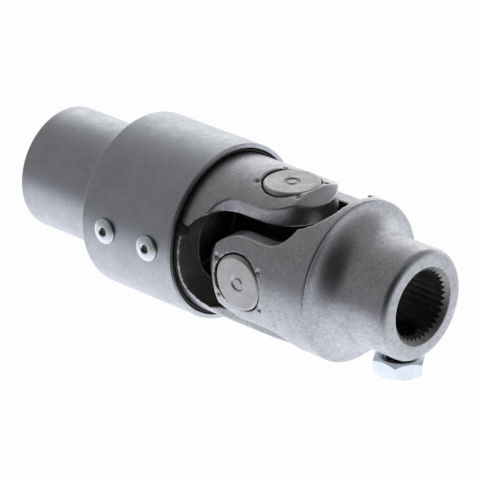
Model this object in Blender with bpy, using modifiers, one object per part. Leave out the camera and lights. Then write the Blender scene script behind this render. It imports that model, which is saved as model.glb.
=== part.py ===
"""Steering universal joint with a rubber vibration reducer at one end.

The shaft line runs along +X, from the mouth of the reducer's bore at x = 0 to the splined hub.
Pin 1 stands along Z in the reducer's fork. Pin 2 lies along Y in the hub's fork.
Sizes are in millimetres and are turned into metres where a mesh is made.
"""
import math

import bmesh
import bpy
from mathutils import Matrix, Vector

MM = 0.001

# Clearances
SEAT_GAP = 0.3              # between pieces that are pressed, riveted or screwed together
RUBBER_GAP = 0.2            # between the bonded rubber and its steel
RUNNING_GAP = 0.12          # between a trunnion, its needles and their cap
THREAD_GAP = 0.25           # between the plain screw and its plain holes

# Reducer hub: a plain neck and a thick disc, turned in one piece
NECK_OD = 34.0
NECK_BORE = 25.4
NECK_BORE_STOP = 2.5        # the bore ends this far before the disc
NECK_LENGTH = 31.5
NECK_CHAMFER = 0.8
NECK_BORE_CHAMFER = 0.9
DISC_LENGTH = 12.5
DISC_CHAMFER = 0.6

# Outer sleeve, riveted round the disc
SLEEVE_WALL = 1.3
SLEEVE_LENGTH = 32.2
SLEEVE_EDGE = 0.5

# Bush: a steel shell with rubber bonded inside it
SHELL_WALL = 1.5
SHELL_TO_DISC = 2.6
RUBBER_WALL = 3.2           # between the shell and the spigot
RUBBER_LIP = 0.75           # between the fork's collar and the sleeve's mouth
RUBBER_WEB = 1.8            # behind the fork's collar
RUBBER_LIP_RECESS = 0.4     # the lip ends this far inside the sleeve's mouth

# Blind rivets
RIVET_FLANGE_OD = 6.8
RIVET_FLANGE_THICK = 1.1
RIVET_FLANGE_RIM = 0.6
RIVET_CROWN_EDGE = 0.3      # round the hole in the flange
RIVET_SHANK_OD = 4.0
RIVET_HOLE = 2.3
RIVET_FLOOR = 0.6
RIVET_TAIL = 2.3            # shank past the sleeve and the shell
RIVET_EDGE = 3.5            # rivet centre to the front edge of the disc or shell under it
RIVET_ANGLE = 86.0          # degrees round the shaft line from pin 1

# Forks, the same on both yokes
YOKE_OD = 42.9
FORK_GAP = 27.5             # between the inner faces of two ears
FORK_DEPTH = 20.35          # from the joint centre to the floor between the ears
FORK_CORNER = 9.7           # radius between the floor and the ears
EAR_HALF_WIDTH = 11.75      # also the radius of the boss round a pin
EAR_FILLET = 7.5            # radius that widens an ear into the round body
EAR_FILLET_TO_FLOOR = 5.85
NOSE_LENGTH = 3.6           # the turned nose at the tip of each boss
NOSE_FALL = 3.0

# Reducer yoke
FLOOR_TO_SLEEVE = 1.15      # the fork's floor stands this far out of the sleeve
COLLAR_DEPTH = 2.0          # full diameter that enters the sleeve
SPIGOT_WALL = 3.5
SPIGOT_WEB = 5.0            # solid end of the spigot
SPIGOT_TO_DISC = 2.35
SPIGOT_CHAMFER = 0.8
DOG_STEP = 1.7              # fail-safe dogs stand in from the spigot's outside by this
DOG_HEIGHT = 6.5
DOG_HALF_ANGLE = 26.0
DOG_ENGAGEMENT = 5.0        # length of a dog inside its slot
DOG_FREE_ANGLE = 5.0        # turn before a dog meets its slot, degrees
DOG_FREE_GAP = 0.6

# Hub yoke
RIDGE_WALL = 2.45           # full diameter behind the fork's floor
RIDGE_EDGE = 0.5
FLARE_RADIUS = 7.5
HUB_OD = 29.3
HUB_NECK_LENGTH = 13.5      # straight part of the hub
HUB_EDGE = 1.7
COUNTERBORE_DEPTH = 3.0
SPLINE_TEETH = 36
SPLINE_MAJOR = 19.1
SPLINE_MINOR = 17.6
SPLINE_MOUTH = 20.8
SPLINE_WALL_CORE = 1.0      # the blank's bore is this much under the tips of the teeth

# Cross and its bearings
CAP_OD = 15.0
CAP_WALL = 0.95
CAP_FLOOR = 1.4
CAP_SUNK = 0.4              # a cap's face below the crown of its ear
CAP_INSIDE = 0.5            # a cap's rim past the inner face of its ear
CAP_EDGE = 0.5
CAP_DIMPLE_OD = 3.6
CAP_DIMPLE_DEPTH = 0.25
NEEDLE_COUNT = 14
NEEDLE_OD = 1.6
NEEDLE_VALLEY = 0.45        # height between two needles, as a share of a needle's radius
NEEDLE_END_GAP = 0.5
THRUST_DISC = 0.8
TRUNNION_CHAMFER = 0.6
SEAL_LENGTH = 1.6
SEAL_LIP = 0.5
SHOULDER_STEP = 0.6         # cross shoulder inside the cap's outside
SHOULDER_LENGTH = 2.6
CROSS_MIDDLE = 18.4         # across the round middle of the cross

# Set screw and jam nut, straight down under the hub
SCREW_OD = 7.9
SCREW_POINT = 5.0
SCREW_CHAMFER = 0.9
SCREW_SOCKET = 4.0          # across flats
SCREW_SOCKET_DEPTH = 4.0
SCREW_PAST_NUT = 1.2
NUT_FLATS = 12.7
NUT_THICK = 4.8
NUT_EDGE = 0.5
NUT_CORNER_ANGLE = 32.0
NUT_TURN = 30.0
NUT_STANDOFF = 1.0          # the nut isn't run down on the hub

# Facets round a turned piece
BODY_SEGMENTS = 48
PIN_SEGMENTS = 28
SMALL_SEGMENTS = 16

# Places along the shaft line, from the mouth of the reducer's bore
DISC_END = NECK_LENGTH + DISC_LENGTH
SLEEVE_END = NECK_LENGTH + SLEEVE_LENGTH
COLLAR_BACK = SLEEVE_END - COLLAR_DEPTH
JOINT_X = SLEEVE_END + FLOOR_TO_SLEEVE + FORK_DEPTH
RUBBER_FRONT = COLLAR_BACK - RUBBER_GAP
SHELL_FRONT = RUBBER_FRONT - RUBBER_WEB - RUBBER_GAP
SHELL_BACK = DISC_END + SHELL_TO_DISC
SPIGOT_END = DISC_END + SPIGOT_TO_DISC
DOG_END = DISC_END - DOG_ENGAGEMENT
RIVET_PLACES = (DISC_END - RIVET_EDGE, SHELL_FRONT - RIVET_EDGE)

# Radii of the reducer, from the yoke's outside
YOKE_R = YOKE_OD / 2
SLEEVE_BORE_R = YOKE_R + RUBBER_LIP + 2 * RUBBER_GAP
SLEEVE_R = SLEEVE_BORE_R + SLEEVE_WALL
DISC_R = SLEEVE_BORE_R - SEAT_GAP
SHELL_BORE_R = DISC_R - SHELL_WALL
SPIGOT_R = SHELL_BORE_R - RUBBER_WALL - 2 * RUBBER_GAP
HOLLOW_R = SPIGOT_R - SPIGOT_WALL
DOG_OUTER_R = SPIGOT_R - DOG_STEP
DOG_INNER_R = DOG_OUTER_R - DOG_HEIGHT
RIVET_GRIP = SLEEVE_WALL + SEAT_GAP + SHELL_WALL + RIVET_TAIL

# Places along the hub, from the joint centre
RIDGE = FORK_DEPTH + RIDGE_WALL
FLARE_END = RIDGE + FLARE_RADIUS
HUB_FACE = FLARE_END + HUB_NECK_LENGTH
COUNTERBORE_END = FORK_DEPTH + COUNTERBORE_DEPTH
SCREW_FROM_PIN = FLARE_END + NUT_FLATS / 2 - NUT_EDGE

# Places along a trunnion, from the joint centre
CAP_FACE = YOKE_R - CAP_SUNK
CAP_RIM = FORK_GAP / 2 - CAP_INSIDE
CAP_R = CAP_OD / 2
CAP_BORE_R = CAP_R - CAP_WALL
NEEDLE_OUTER_R = CAP_BORE_R - RUNNING_GAP
NEEDLE_INNER_R = NEEDLE_OUTER_R - NEEDLE_OD
TRUNNION_R = NEEDLE_INNER_R - RUNNING_GAP
TRUNNION_END = CAP_FACE - CAP_FLOOR - THRUST_DISC - 2 * RUNNING_GAP
SEAL_TOP = CAP_RIM - RUNNING_GAP
SEAL_START = SEAL_TOP - SEAL_LENGTH
SHOULDER_END = SEAL_START - RUNNING_GAP
NUT_TOP = HUB_OD / 2 + NUT_STANDOFF

# Directions
ALONG_SHAFT = Vector((1, 0, 0))
PIN_1 = Vector((0, 0, 1))
PIN_2 = Vector((0, -1, 0))
JOINT_CENTRE = Vector((JOINT_X, 0, 0))
TRUNNIONS = {"upper": PIN_1, "lower": -PIN_1, "front": PIN_2, "rear": -PIN_2}


def clear_scene():
    """Remove whatever the file holds before building."""
    for old in list(bpy.data.objects):
        bpy.data.objects.remove(old, do_unlink=True)


def make_collection(name):
    collection = bpy.data.collections.new(name)
    bpy.context.scene.collection.children.link(collection)
    return collection


def make_material(name, colour, metallic, roughness):
    material = bpy.data.materials.new(name)
    material.use_nodes = True
    shader = material.node_tree.nodes["Principled BSDF"]
    shader.inputs["Base Color"].default_value = (*colour, 1.0)
    shader.inputs["Metallic"].default_value = metallic
    shader.inputs["Roughness"].default_value = roughness
    return material


def facing(direction):
    """Rotation that turns local +Z to the given direction."""
    return direction.to_track_quat("Z", "Y").to_euler()


def new_object(name, mesh, collection, place=(0, 0, 0), direction=None, turn=0.0):
    """An object at a place in millimetres, with its local Z along a direction."""
    piece = bpy.data.objects.new(name, mesh)
    collection.objects.link(piece)
    matrix = Matrix.Translation(Vector(place) * MM)
    if direction is not None:
        matrix = matrix @ facing(direction).to_matrix().to_4x4()
    piece.matrix_world = matrix @ Matrix.Rotation(math.radians(turn), 4, "Z")
    return piece


def arc(centre, radius, start, end, steps):
    """Points on an arc, angles in degrees."""
    points = []
    for i in range(steps + 1):
        angle = math.radians(start + (end - start) * i / steps)
        points.append((centre[0] + radius * math.cos(angle), centre[1] + radius * math.sin(angle)))
    return points


def turned(name, profile, collection, segments, place=(0, 0, 0), direction=ALONG_SHAFT, ring=False):
    """Revolve (radius, height) points. They run down the outer side, and a ring's close on themselves."""
    mesh = bpy.data.meshes.new(name)
    vertices = [(radius * MM, 0, height * MM) for radius, height in profile]
    edges = [(i, i + 1) for i in range(len(vertices) - 1)]
    if ring:
        edges.append((len(vertices) - 1, 0))
    mesh.from_pydata(vertices, edges, [])
    piece = new_object(name, mesh, collection, place, direction)
    screw = piece.modifiers.new("Turned", "SCREW")
    screw.axis = "Z"
    screw.angle = math.radians(360)
    screw.steps = segments
    screw.render_steps = segments
    screw.use_merge_vertices = True
    screw.merge_threshold = 0.00001
    screw.use_smooth_shade = True
    return piece


def prism(name, outlines, half_depth, collection, place=(0, 0, 0), direction=None, turn=0.0):
    """Extrude flat outlines by half_depth to each side. A second outline inside the first is a hole."""
    curve = bpy.data.curves.new(name, "CURVE")
    curve.dimensions = "2D"
    curve.fill_mode = "BOTH"
    curve.extrude = half_depth * MM
    for outline in outlines:
        spline = curve.splines.new("POLY")
        spline.points.add(len(outline) - 1)
        for point, (x, y) in zip(spline.points, outline):
            point.co = (x * MM, y * MM, 0, 1)
        spline.use_cyclic_u = True
    guide = bpy.data.objects.new(name + "_outline", curve)
    collection.objects.link(guide)
    bpy.context.view_layer.update()
    evaluated = guide.evaluated_get(bpy.context.evaluated_depsgraph_get())
    mesh = bpy.data.meshes.new_from_object(evaluated)
    bpy.data.objects.remove(guide, do_unlink=True)
    weld(mesh)
    return new_object(name, mesh, collection, place, direction, turn)


def weld(mesh):
    shape = bmesh.new()
    shape.from_mesh(mesh)
    bmesh.ops.remove_doubles(shape, verts=shape.verts, dist=0.000001)
    bmesh.ops.recalc_face_normals(shape, faces=shape.faces)
    shape.to_mesh(mesh)
    shape.free()


def cylinder(name, radius, bottom, top, collection, place, direction, segments, turn=0.0, top_radius=None):
    """A capped cylinder or cone from bottom to top along a direction."""
    mesh = bpy.data.meshes.new(name)
    shape = bmesh.new()
    middle = Matrix.Translation((0, 0, (bottom + top) / 2 * MM))
    upper = radius if top_radius is None else top_radius
    bmesh.ops.create_cone(shape, cap_ends=True, segments=segments, radius1=radius * MM,
                          radius2=upper * MM, depth=(top - bottom) * MM, matrix=middle)
    shape.to_mesh(mesh)
    shape.free()
    return new_object(name, mesh, collection, place, direction, turn)


def hide_cutter(cutter):
    cutter.display_type = "WIRE"
    cutter.hide_render = True


def combine(piece, tool, operation="DIFFERENCE"):
    """Cut, join or crop a piece with a tool, which becomes a guide."""
    step = piece.modifiers.new(tool.name, "BOOLEAN")
    step.operation = operation
    step.solver = "EXACT"
    step.object = tool
    hide_cutter(tool)


def settle(piece, material):
    """Keep the modelled result as the piece's own mesh, shaded smooth up to its edges."""
    bpy.context.view_layer.update()
    evaluated = piece.evaluated_get(bpy.context.evaluated_depsgraph_get())
    mesh = bpy.data.meshes.new_from_object(evaluated)
    piece.modifiers.clear()
    mesh.materials.clear()
    mesh.materials.append(material)
    mesh.shade_smooth()
    mesh.set_sharp_from_angle(angle=math.radians(32))
    mesh.name = piece.name
    piece.data = mesh
    return piece


def rivet_places():
    """Name, place on the shaft line and direction of each rivet."""
    for number, x in enumerate(RIVET_PLACES, start=1):
        for side, name in ((0, "front"), (180, "rear")):
            angle = math.radians(RIVET_ANGLE + side)
            direction = Vector((0, -math.sin(angle), math.cos(angle)))
            yield f"rivet_{name}_{number}", Vector((x, 0, 0)), direction


def make_reducer_hub(parts, cutters, steel):
    """Plain neck with a blind bore, and the disc that the sleeve is riveted to."""
    neck_r = NECK_OD / 2
    bore_r = NECK_BORE / 2
    profile = [
        (0, DISC_END),
        (DISC_R - DISC_CHAMFER, DISC_END),
        (DISC_R, DISC_END - DISC_CHAMFER),
        (DISC_R, NECK_LENGTH + DISC_CHAMFER),
        (DISC_R - DISC_CHAMFER, NECK_LENGTH),
        (neck_r, NECK_LENGTH),
        (neck_r, NECK_CHAMFER),
        (neck_r - NECK_CHAMFER, 0),
        (bore_r + NECK_BORE_CHAMFER, 0),
        (bore_r, NECK_BORE_CHAMFER),
        (bore_r, NECK_LENGTH - NECK_BORE_STOP),
        (0, NECK_LENGTH - NECK_BORE_STOP),
    ]
    hub = turned("reducer_hub", profile, parts, BODY_SEGMENTS)
    for name, turn in (("upper", 0), ("lower", 180)):
        slot = dog_shape(f"dog_slot_{name}", cutters, turn, DOG_HALF_ANGLE + DOG_FREE_ANGLE,
                         DOG_FREE_GAP, DOG_END - DOG_FREE_GAP, DISC_END + 1)
        combine(hub, slot)
    cut_rivet_holes(hub, cutters)
    return settle(hub, steel)


def dog_shape(name, collection, turn, half_angle, grow, start, end):
    """A curved block round the shaft line, for a dog or for its slot."""
    outer = arc((0, 0), DOG_OUTER_R + grow, -half_angle, half_angle, 8)
    inner = arc((0, 0), DOG_INNER_R - grow, half_angle, -half_angle, 8)
    centre = ((start + end) / 2, 0, 0)
    return prism(name, [outer + inner], (end - start) / 2, collection, centre, ALONG_SHAFT, turn)


def cut_rivet_holes(piece, cutters):
    """One drilled hole for each rivet."""
    for name, place, direction in rivet_places():
        hole = cylinder(f"{piece.name}_{name}_hole", RIVET_SHANK_OD / 2 + SEAT_GAP,
                        SLEEVE_R - RIVET_GRIP - SEAT_GAP, SLEEVE_R + SEAT_GAP, cutters, place,
                        direction, SMALL_SEGMENTS)
        combine(piece, hole)


def make_sleeve(parts, cutters, steel):
    """Thin outer tube with a turned edge at each end."""
    start = NECK_LENGTH
    profile = [
        (SLEEVE_R - SLEEVE_EDGE, SLEEVE_END),
        (SLEEVE_R, SLEEVE_END - SLEEVE_EDGE),
        (SLEEVE_R, start + SLEEVE_EDGE),
        (SLEEVE_R - SLEEVE_EDGE, start),
        (SLEEVE_BORE_R, start),
        (SLEEVE_BORE_R, SLEEVE_END),
    ]
    sleeve = turned("reducer_sleeve", profile, parts, BODY_SEGMENTS, ring=True)
    cut_rivet_holes(sleeve, cutters)
    return settle(sleeve, steel)


def make_bush(parts, cutters, steel, rubber):
    """Steel shell and the rubber between it, the sleeve's mouth and the yoke's spigot."""
    shell_profile = [
        (DISC_R, SHELL_FRONT),
        (DISC_R, SHELL_BACK),
        (SHELL_BORE_R, SHELL_BACK),
        (SHELL_BORE_R, SHELL_FRONT),
    ]
    shell = turned("bush_shell", shell_profile, parts, BODY_SEGMENTS, ring=True)
    cut_rivet_holes(shell, cutters)
    settle(shell, steel)

    inner = SPIGOT_R + RUBBER_GAP
    web_back = SHELL_FRONT + RUBBER_GAP
    lip_inner = YOKE_R + RUBBER_GAP
    lip_outer = SLEEVE_BORE_R - RUBBER_GAP
    rubber_profile = [
        (lip_outer, SLEEVE_END - RUBBER_LIP_RECESS),
        (lip_outer, web_back),
        (SHELL_BORE_R - RUBBER_GAP, web_back),
        (SHELL_BORE_R - RUBBER_GAP, SHELL_BACK),
        (inner, SHELL_BACK),
        (inner, RUBBER_FRONT),
        (lip_inner, RUBBER_FRONT),
        (lip_inner, SLEEVE_END - RUBBER_LIP_RECESS),
    ]
    isolator = turned("rubber_isolator", rubber_profile, parts, BODY_SEGMENTS, ring=True)
    cut_rivet_holes(isolator, cutters)
    settle(isolator, rubber)


def make_rivets(parts, zinc):
    """Blind rivets: a domed flange, a shank and the hole that the mandrel leaves."""
    top = RIVET_FLANGE_THICK
    flange_r = RIVET_FLANGE_OD / 2
    hole_r = RIVET_HOLE / 2
    outline = [
        (hole_r + RIVET_CROWN_EDGE, top),
        (flange_r - top, top - RIVET_CROWN_EDGE / 2),
        (flange_r, RIVET_FLANGE_RIM),
        (flange_r, 0),
        (RIVET_SHANK_OD / 2, 0),
        (RIVET_SHANK_OD / 2, -RIVET_GRIP),
        (0, -RIVET_GRIP),
        (0, RIVET_FLOOR - RIVET_GRIP),
        (hole_r, RIVET_FLOOR - RIVET_GRIP),
        (hole_r, top - RIVET_CROWN_EDGE),
    ]
    for name, place, direction in rivet_places():
        seat = place + direction * (SLEEVE_R + RUNNING_GAP)
        rivet = turned(name, outline, parts, SMALL_SEGMENTS, seat, direction, ring=True)
        settle(rivet, zinc)


def nose_profile(forward):
    """The turned nose: from past the boss's tip back to the full diameter."""
    past = NOSE_LENGTH / 4
    slope = NOSE_FALL / NOSE_LENGTH
    return [
        (YOKE_R - NOSE_FALL - slope * past, forward * (EAR_HALF_WIDTH + past)),
        (YOKE_R, forward * (EAR_HALF_WIDTH - NOSE_LENGTH)),
    ]


def ear_outline(forward, body_length):
    """A fork seen along its pin: the boss, two straight sides and the fillets into the body.

    forward is +1 where the ears point along +X from their body and -1 where they point back.
    """
    fillet_x = EAR_FILLET + EAR_FILLET_TO_FLOOR - FORK_DEPTH
    fillet_y = EAR_HALF_WIDTH + EAR_FILLET
    side = arc((fillet_x, -fillet_y), EAR_FILLET, 90, 180, 8)
    side += [(fillet_x - EAR_FILLET, -YOKE_OD), (-body_length, -YOKE_OD)]
    outline = arc((0, 0), EAR_HALF_WIDTH, 90, -90, 16) + side
    outline += [(x, -y) for x, y in reversed(side)]
    return [(forward * x, y) for x, y in outline]


def slot_outline(forward):
    """The gap between two ears, seen along the other pin."""
    half = FORK_GAP / 2
    corner_x = FORK_CORNER - FORK_DEPTH
    corner_y = half - FORK_CORNER
    reach = EAR_HALF_WIDTH + NOSE_LENGTH
    points = [(reach, half), (corner_x, half)]
    points += arc((corner_x, corner_y), FORK_CORNER, 90, 180, 8)[1:]
    points += arc((corner_x, -corner_y), FORK_CORNER, 180, 270, 8)
    points += [(reach, -half)]
    return [(forward * x, y) for x, y in points]


def cut_fork(yoke, cutters, forward, pin_axis, body_length):
    """Shape a turned blank into a fork whose pin lies along pin_axis."""
    across = ALONG_SHAFT.cross(pin_axis)
    frame = Matrix((ALONG_SHAFT, across, pin_axis)).transposed().to_4x4()
    side = prism(yoke.name + "_ear_outline", [ear_outline(forward, body_length)], YOKE_OD, cutters)
    side.matrix_world = Matrix.Translation(JOINT_CENTRE * MM) @ frame
    combine(yoke, side, "INTERSECT")
    frame = Matrix((ALONG_SHAFT, pin_axis, -across)).transposed().to_4x4()
    slot = prism(yoke.name + "_slot", [slot_outline(forward)], YOKE_OD, cutters)
    slot.matrix_world = Matrix.Translation(JOINT_CENTRE * MM) @ frame
    combine(yoke, slot)
    bore = cylinder(yoke.name + "_pin_bore", CAP_R + SEAT_GAP, -YOKE_OD, YOKE_OD, cutters,
                    JOINT_CENTRE, pin_axis, PIN_SEGMENTS)
    combine(yoke, bore)


def make_reducer_yoke(parts, cutters, steel):
    """The fork with its collar, hollow spigot and fail-safe dogs."""
    collar_back = COLLAR_BACK - JOINT_X
    spigot_end = SPIGOT_END - JOINT_X
    profile = [(HOLLOW_R, EAR_HALF_WIDTH + NOSE_LENGTH / 4)] + nose_profile(1)
    profile += [
        (YOKE_R, collar_back),
        (SPIGOT_R, collar_back),
        (SPIGOT_R, spigot_end + SPIGOT_CHAMFER),
        (SPIGOT_R - SPIGOT_CHAMFER, spigot_end),
        (0, spigot_end),
        (0, spigot_end + SPIGOT_WEB),
        (HOLLOW_R, spigot_end + SPIGOT_WEB),
    ]
    yoke = turned("reducer_yoke", profile, parts, BODY_SEGMENTS, JOINT_CENTRE, ring=True)
    cut_fork(yoke, cutters, 1, PIN_1, JOINT_X)
    for name, turn in (("upper", 0), ("lower", 180)):
        dog = dog_shape(f"dog_{name}", cutters, turn, DOG_HALF_ANGLE, 0, DOG_END,
                        SPIGOT_END + SPIGOT_CHAMFER * 2)
        combine(yoke, dog, "UNION")
    return settle(yoke, steel)


def spline_outline():
    """V serrations: a root and a tip for each tooth."""
    points = []
    for i in range(2 * SPLINE_TEETH):
        angle = math.pi * i / SPLINE_TEETH
        radius = SPLINE_MAJOR / 2 if i % 2 == 0 else SPLINE_MINOR / 2
        points.append((radius * math.cos(angle), radius * math.sin(angle)))
    return points


def make_hub_yoke(parts, cutters, steel):
    """The fork, the flare down to the hub and its splined bore."""
    hub_r = HUB_OD / 2
    core_r = SPLINE_MINOR / 2 - SPLINE_WALL_CORE
    flare_reach = max(0.0, (hub_r + FLARE_RADIUS - YOKE_R + RIDGE_EDGE) / FLARE_RADIUS)
    flare_turn = math.degrees(math.acos(flare_reach))
    profile = [(core_r, HUB_FACE)]
    profile += arc((hub_r - HUB_EDGE, HUB_FACE - HUB_EDGE), HUB_EDGE, 90, 0, 3)
    profile += arc((hub_r + FLARE_RADIUS, FLARE_END), FLARE_RADIUS, 180, 180 + flare_turn, 7)
    profile += [(YOKE_R, RIDGE)]
    profile += list(reversed(nose_profile(-1)))
    profile += [
        (HOLLOW_R, -EAR_HALF_WIDTH - NOSE_LENGTH / 4),
        (HOLLOW_R, COUNTERBORE_END),
        (core_r, COUNTERBORE_END),
    ]
    yoke = turned("hub_yoke", profile, parts, BODY_SEGMENTS, JOINT_CENTRE, ring=True)
    cut_fork(yoke, cutters, -1, PIN_2, HUB_FACE + YOKE_OD)
    cut_spline(yoke, cutters, core_r)
    screw_hole = cylinder("set_screw_hole", SCREW_OD / 2 + THREAD_GAP, 0, HUB_OD, cutters,
                          screw_place(), -PIN_1, SMALL_SEGMENTS)
    combine(yoke, screw_hole)
    return settle(yoke, steel)


def cut_spline(yoke, cutters, core_r):
    """The serrated bore and the chamfer at its mouth."""
    half_length = (HUB_FACE - COUNTERBORE_END) / 2 + 1
    middle = JOINT_CENTRE + ALONG_SHAFT * (HUB_FACE + COUNTERBORE_END) / 2
    spline = prism("hub_spline", [spline_outline()], half_length, cutters, middle, ALONG_SHAFT)
    combine(yoke, spline)
    mouth_r = SPLINE_MOUTH / 2
    mouth = cylinder("hub_spline_mouth", core_r, HUB_FACE - mouth_r + core_r, HUB_FACE + 1, cutters,
                     JOINT_CENTRE, ALONG_SHAFT, BODY_SEGMENTS, top_radius=mouth_r + 1)
    combine(yoke, mouth)


def screw_place():
    return JOINT_CENTRE + ALONG_SHAFT * SCREW_FROM_PIN


def make_set_screw(parts, cutters, black):
    """Socket set screw with a cup point, ending just outside the spline."""
    start = SPLINE_MAJOR / 2 + RUNNING_GAP
    end = NUT_TOP + NUT_THICK + SCREW_PAST_NUT
    screw_r = SCREW_OD / 2
    profile = [
        (0, end),
        (screw_r - SCREW_CHAMFER, end),
        (screw_r, end - SCREW_CHAMFER),
        (screw_r, start + SCREW_CHAMFER),
        (SCREW_POINT / 2, start),
        (0, start + SCREW_CHAMFER),
    ]
    screw = turned("set_screw", profile, parts, SMALL_SEGMENTS, screw_place(), -PIN_1)
    socket = cylinder("set_screw_socket", SCREW_SOCKET / math.sqrt(3), end - SCREW_SOCKET_DEPTH, end + 1,
                      cutters, screw_place(), -PIN_1, 6)
    combine(screw, socket)
    return settle(screw, black)


def make_jam_nut(parts, cutters, zinc):
    """Thin hexagon nut with its corners turned off on both faces."""
    corner_r = NUT_FLATS / math.sqrt(3)
    bottom = NUT_TOP
    top = NUT_TOP + NUT_THICK
    nut = cylinder("jam_nut", corner_r, bottom, top, parts, screw_place(), -PIN_1, 6, NUT_TURN)
    face_r = NUT_FLATS / 2 - NUT_EDGE
    wide_r = corner_r + NUT_EDGE
    fall = (wide_r - face_r) * math.tan(math.radians(NUT_CORNER_ANGLE))
    edge = [
        (0, top),
        (face_r, top),
        (wide_r, top - fall),
        (wide_r, bottom + fall),
        (face_r, bottom),
        (0, bottom),
    ]
    rounding = turned("jam_nut_corners", edge, cutters, PIN_SEGMENTS, screw_place(), -PIN_1)
    combine(nut, rounding, "INTERSECT")
    hole = cylinder("jam_nut_hole", SCREW_OD / 2 + THREAD_GAP, 0, HUB_OD, cutters, screw_place(),
                    -PIN_1, SMALL_SEGMENTS)
    combine(nut, hole)
    return settle(nut, zinc)


def make_cross(parts, cutters, steel):
    """Two bars through one round middle, each with a trunnion at both ends."""
    shoulder_r = CAP_R - SHOULDER_STEP
    half_bar = [
        (0, TRUNNION_END),
        (TRUNNION_R - TRUNNION_CHAMFER, TRUNNION_END),
        (TRUNNION_R, TRUNNION_END - TRUNNION_CHAMFER),
        (TRUNNION_R, SHOULDER_END),
        (shoulder_r, SHOULDER_END),
        (shoulder_r, SHOULDER_END - SHOULDER_LENGTH),
    ]
    profile = half_bar + [(radius, -height) for radius, height in reversed(half_bar)]
    cross = turned("cross", profile, parts, PIN_SEGMENTS, JOINT_CENTRE, PIN_1)
    bar = turned("cross_bar", profile, cutters, PIN_SEGMENTS, JOINT_CENTRE, PIN_2)
    combine(cross, bar, "UNION")
    ball_profile = arc((0, 0), CROSS_MIDDLE / 2, 90, -90, 12)
    ball_profile = [(max(radius, 0), height) for radius, height in ball_profile]
    ball = turned("cross_middle", ball_profile, cutters, PIN_SEGMENTS, JOINT_CENTRE, ALONG_SHAFT)
    combine(cross, ball, "UNION")
    return settle(cross, steel)


def make_cap(name, direction, parts, steel):
    """A drawn cup with a rounded edge and a small round dimple in its face."""
    dimple_r = CAP_DIMPLE_OD / 2
    profile = [
        (0, CAP_FACE - CAP_DIMPLE_DEPTH),
        (dimple_r - CAP_DIMPLE_DEPTH, CAP_FACE - CAP_DIMPLE_DEPTH),
        (dimple_r, CAP_FACE),
    ]
    profile += arc((CAP_R - CAP_EDGE, CAP_FACE - CAP_EDGE), CAP_EDGE, 90, 0, 2)
    profile += [
        (CAP_R, CAP_RIM),
        (CAP_BORE_R, CAP_RIM),
        (CAP_BORE_R, CAP_FACE - CAP_FLOOR),
        (0, CAP_FACE - CAP_FLOOR),
    ]
    settle(turned(name, profile, parts, PIN_SEGMENTS, JOINT_CENTRE, direction), steel)


def needle_outline(side):
    """Outer (+1) or inner (-1) edge of a full ring of needles, four points to a needle."""
    pitch_r = (NEEDLE_OUTER_R + NEEDLE_INNER_R) / 2
    needle_r = NEEDLE_OD / 2
    points = []
    for i in range(4 * NEEDLE_COUNT):
        angle = 2 * math.pi * (i + 0.5) / (4 * NEEDLE_COUNT)
        crest = i % 4 in (1, 2)
        reach = needle_r if crest else needle_r * NEEDLE_VALLEY
        radius = pitch_r + side * reach
        points.append((radius * math.cos(angle), radius * math.sin(angle)))
    return points


def make_bearing(name, direction, parts, steel, rubber, nylon):
    """What lies inside one cap: the needles, the thrust disc and the seal."""
    bottom = CAP_RIM + NEEDLE_END_GAP
    top = TRUNNION_END - NEEDLE_END_GAP
    middle = JOINT_CENTRE + direction * (bottom + top) / 2
    needles = prism(f"needles_{name}", [needle_outline(1), needle_outline(-1)], (top - bottom) / 2,
                    parts, middle, direction)
    settle(needles, steel)

    disc_top = CAP_FACE - CAP_FLOOR - RUNNING_GAP
    disc_r = CAP_BORE_R - RUNNING_GAP
    disc_profile = [(0, disc_top), (disc_r, disc_top), (disc_r, disc_top - THRUST_DISC),
                    (0, disc_top - THRUST_DISC)]
    disc = turned(f"thrust_disc_{name}", disc_profile, parts, SMALL_SEGMENTS, JOINT_CENTRE, direction)
    settle(disc, nylon)

    seal_outer = CAP_R - SEAL_LIP
    seal_inner = TRUNNION_R + RUNNING_GAP
    seal_profile = [
        (seal_outer, SEAL_TOP),
        (seal_outer, SEAL_START + SEAL_LIP),
        (seal_outer - SEAL_LIP, SEAL_START),
        (seal_inner, SEAL_START),
        (seal_inner, SEAL_TOP),
    ]
    seal = turned(f"seal_{name}", seal_profile, parts, SMALL_SEGMENTS, JOINT_CENTRE, direction, ring=True)
    settle(seal, rubber)


def main():
    clear_scene()
    parts = make_collection("steering_universal_joint")
    cutters = make_collection("cutters")
    steel = make_material("machined steel", (0.30, 0.30, 0.31), 1.0, 0.42)
    cap_steel = make_material("bearing cap steel", (0.50, 0.48, 0.44), 1.0, 0.40)
    zinc = make_material("bright zinc", (0.70, 0.74, 0.76), 1.0, 0.22)
    black = make_material("black oxide steel", (0.04, 0.04, 0.04), 1.0, 0.45)
    rubber = make_material("black rubber", (0.02, 0.018, 0.017), 0.0, 0.75)
    nylon = make_material("nylon", (0.75, 0.73, 0.66), 0.0, 0.50)

    make_reducer_hub(parts, cutters, steel)
    make_sleeve(parts, cutters, steel)
    make_bush(parts, cutters, steel, rubber)
    make_rivets(parts, zinc)
    make_reducer_yoke(parts, cutters, steel)
    make_hub_yoke(parts, cutters, steel)
    make_set_screw(parts, cutters, black)
    make_jam_nut(parts, cutters, zinc)
    make_cross(parts, cutters, steel)
    for name, direction in TRUNNIONS.items():
        make_cap(f"cap_{name}", direction, parts, cap_steel)
        make_bearing(name, direction, parts, steel, rubber, nylon)


main()
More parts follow.
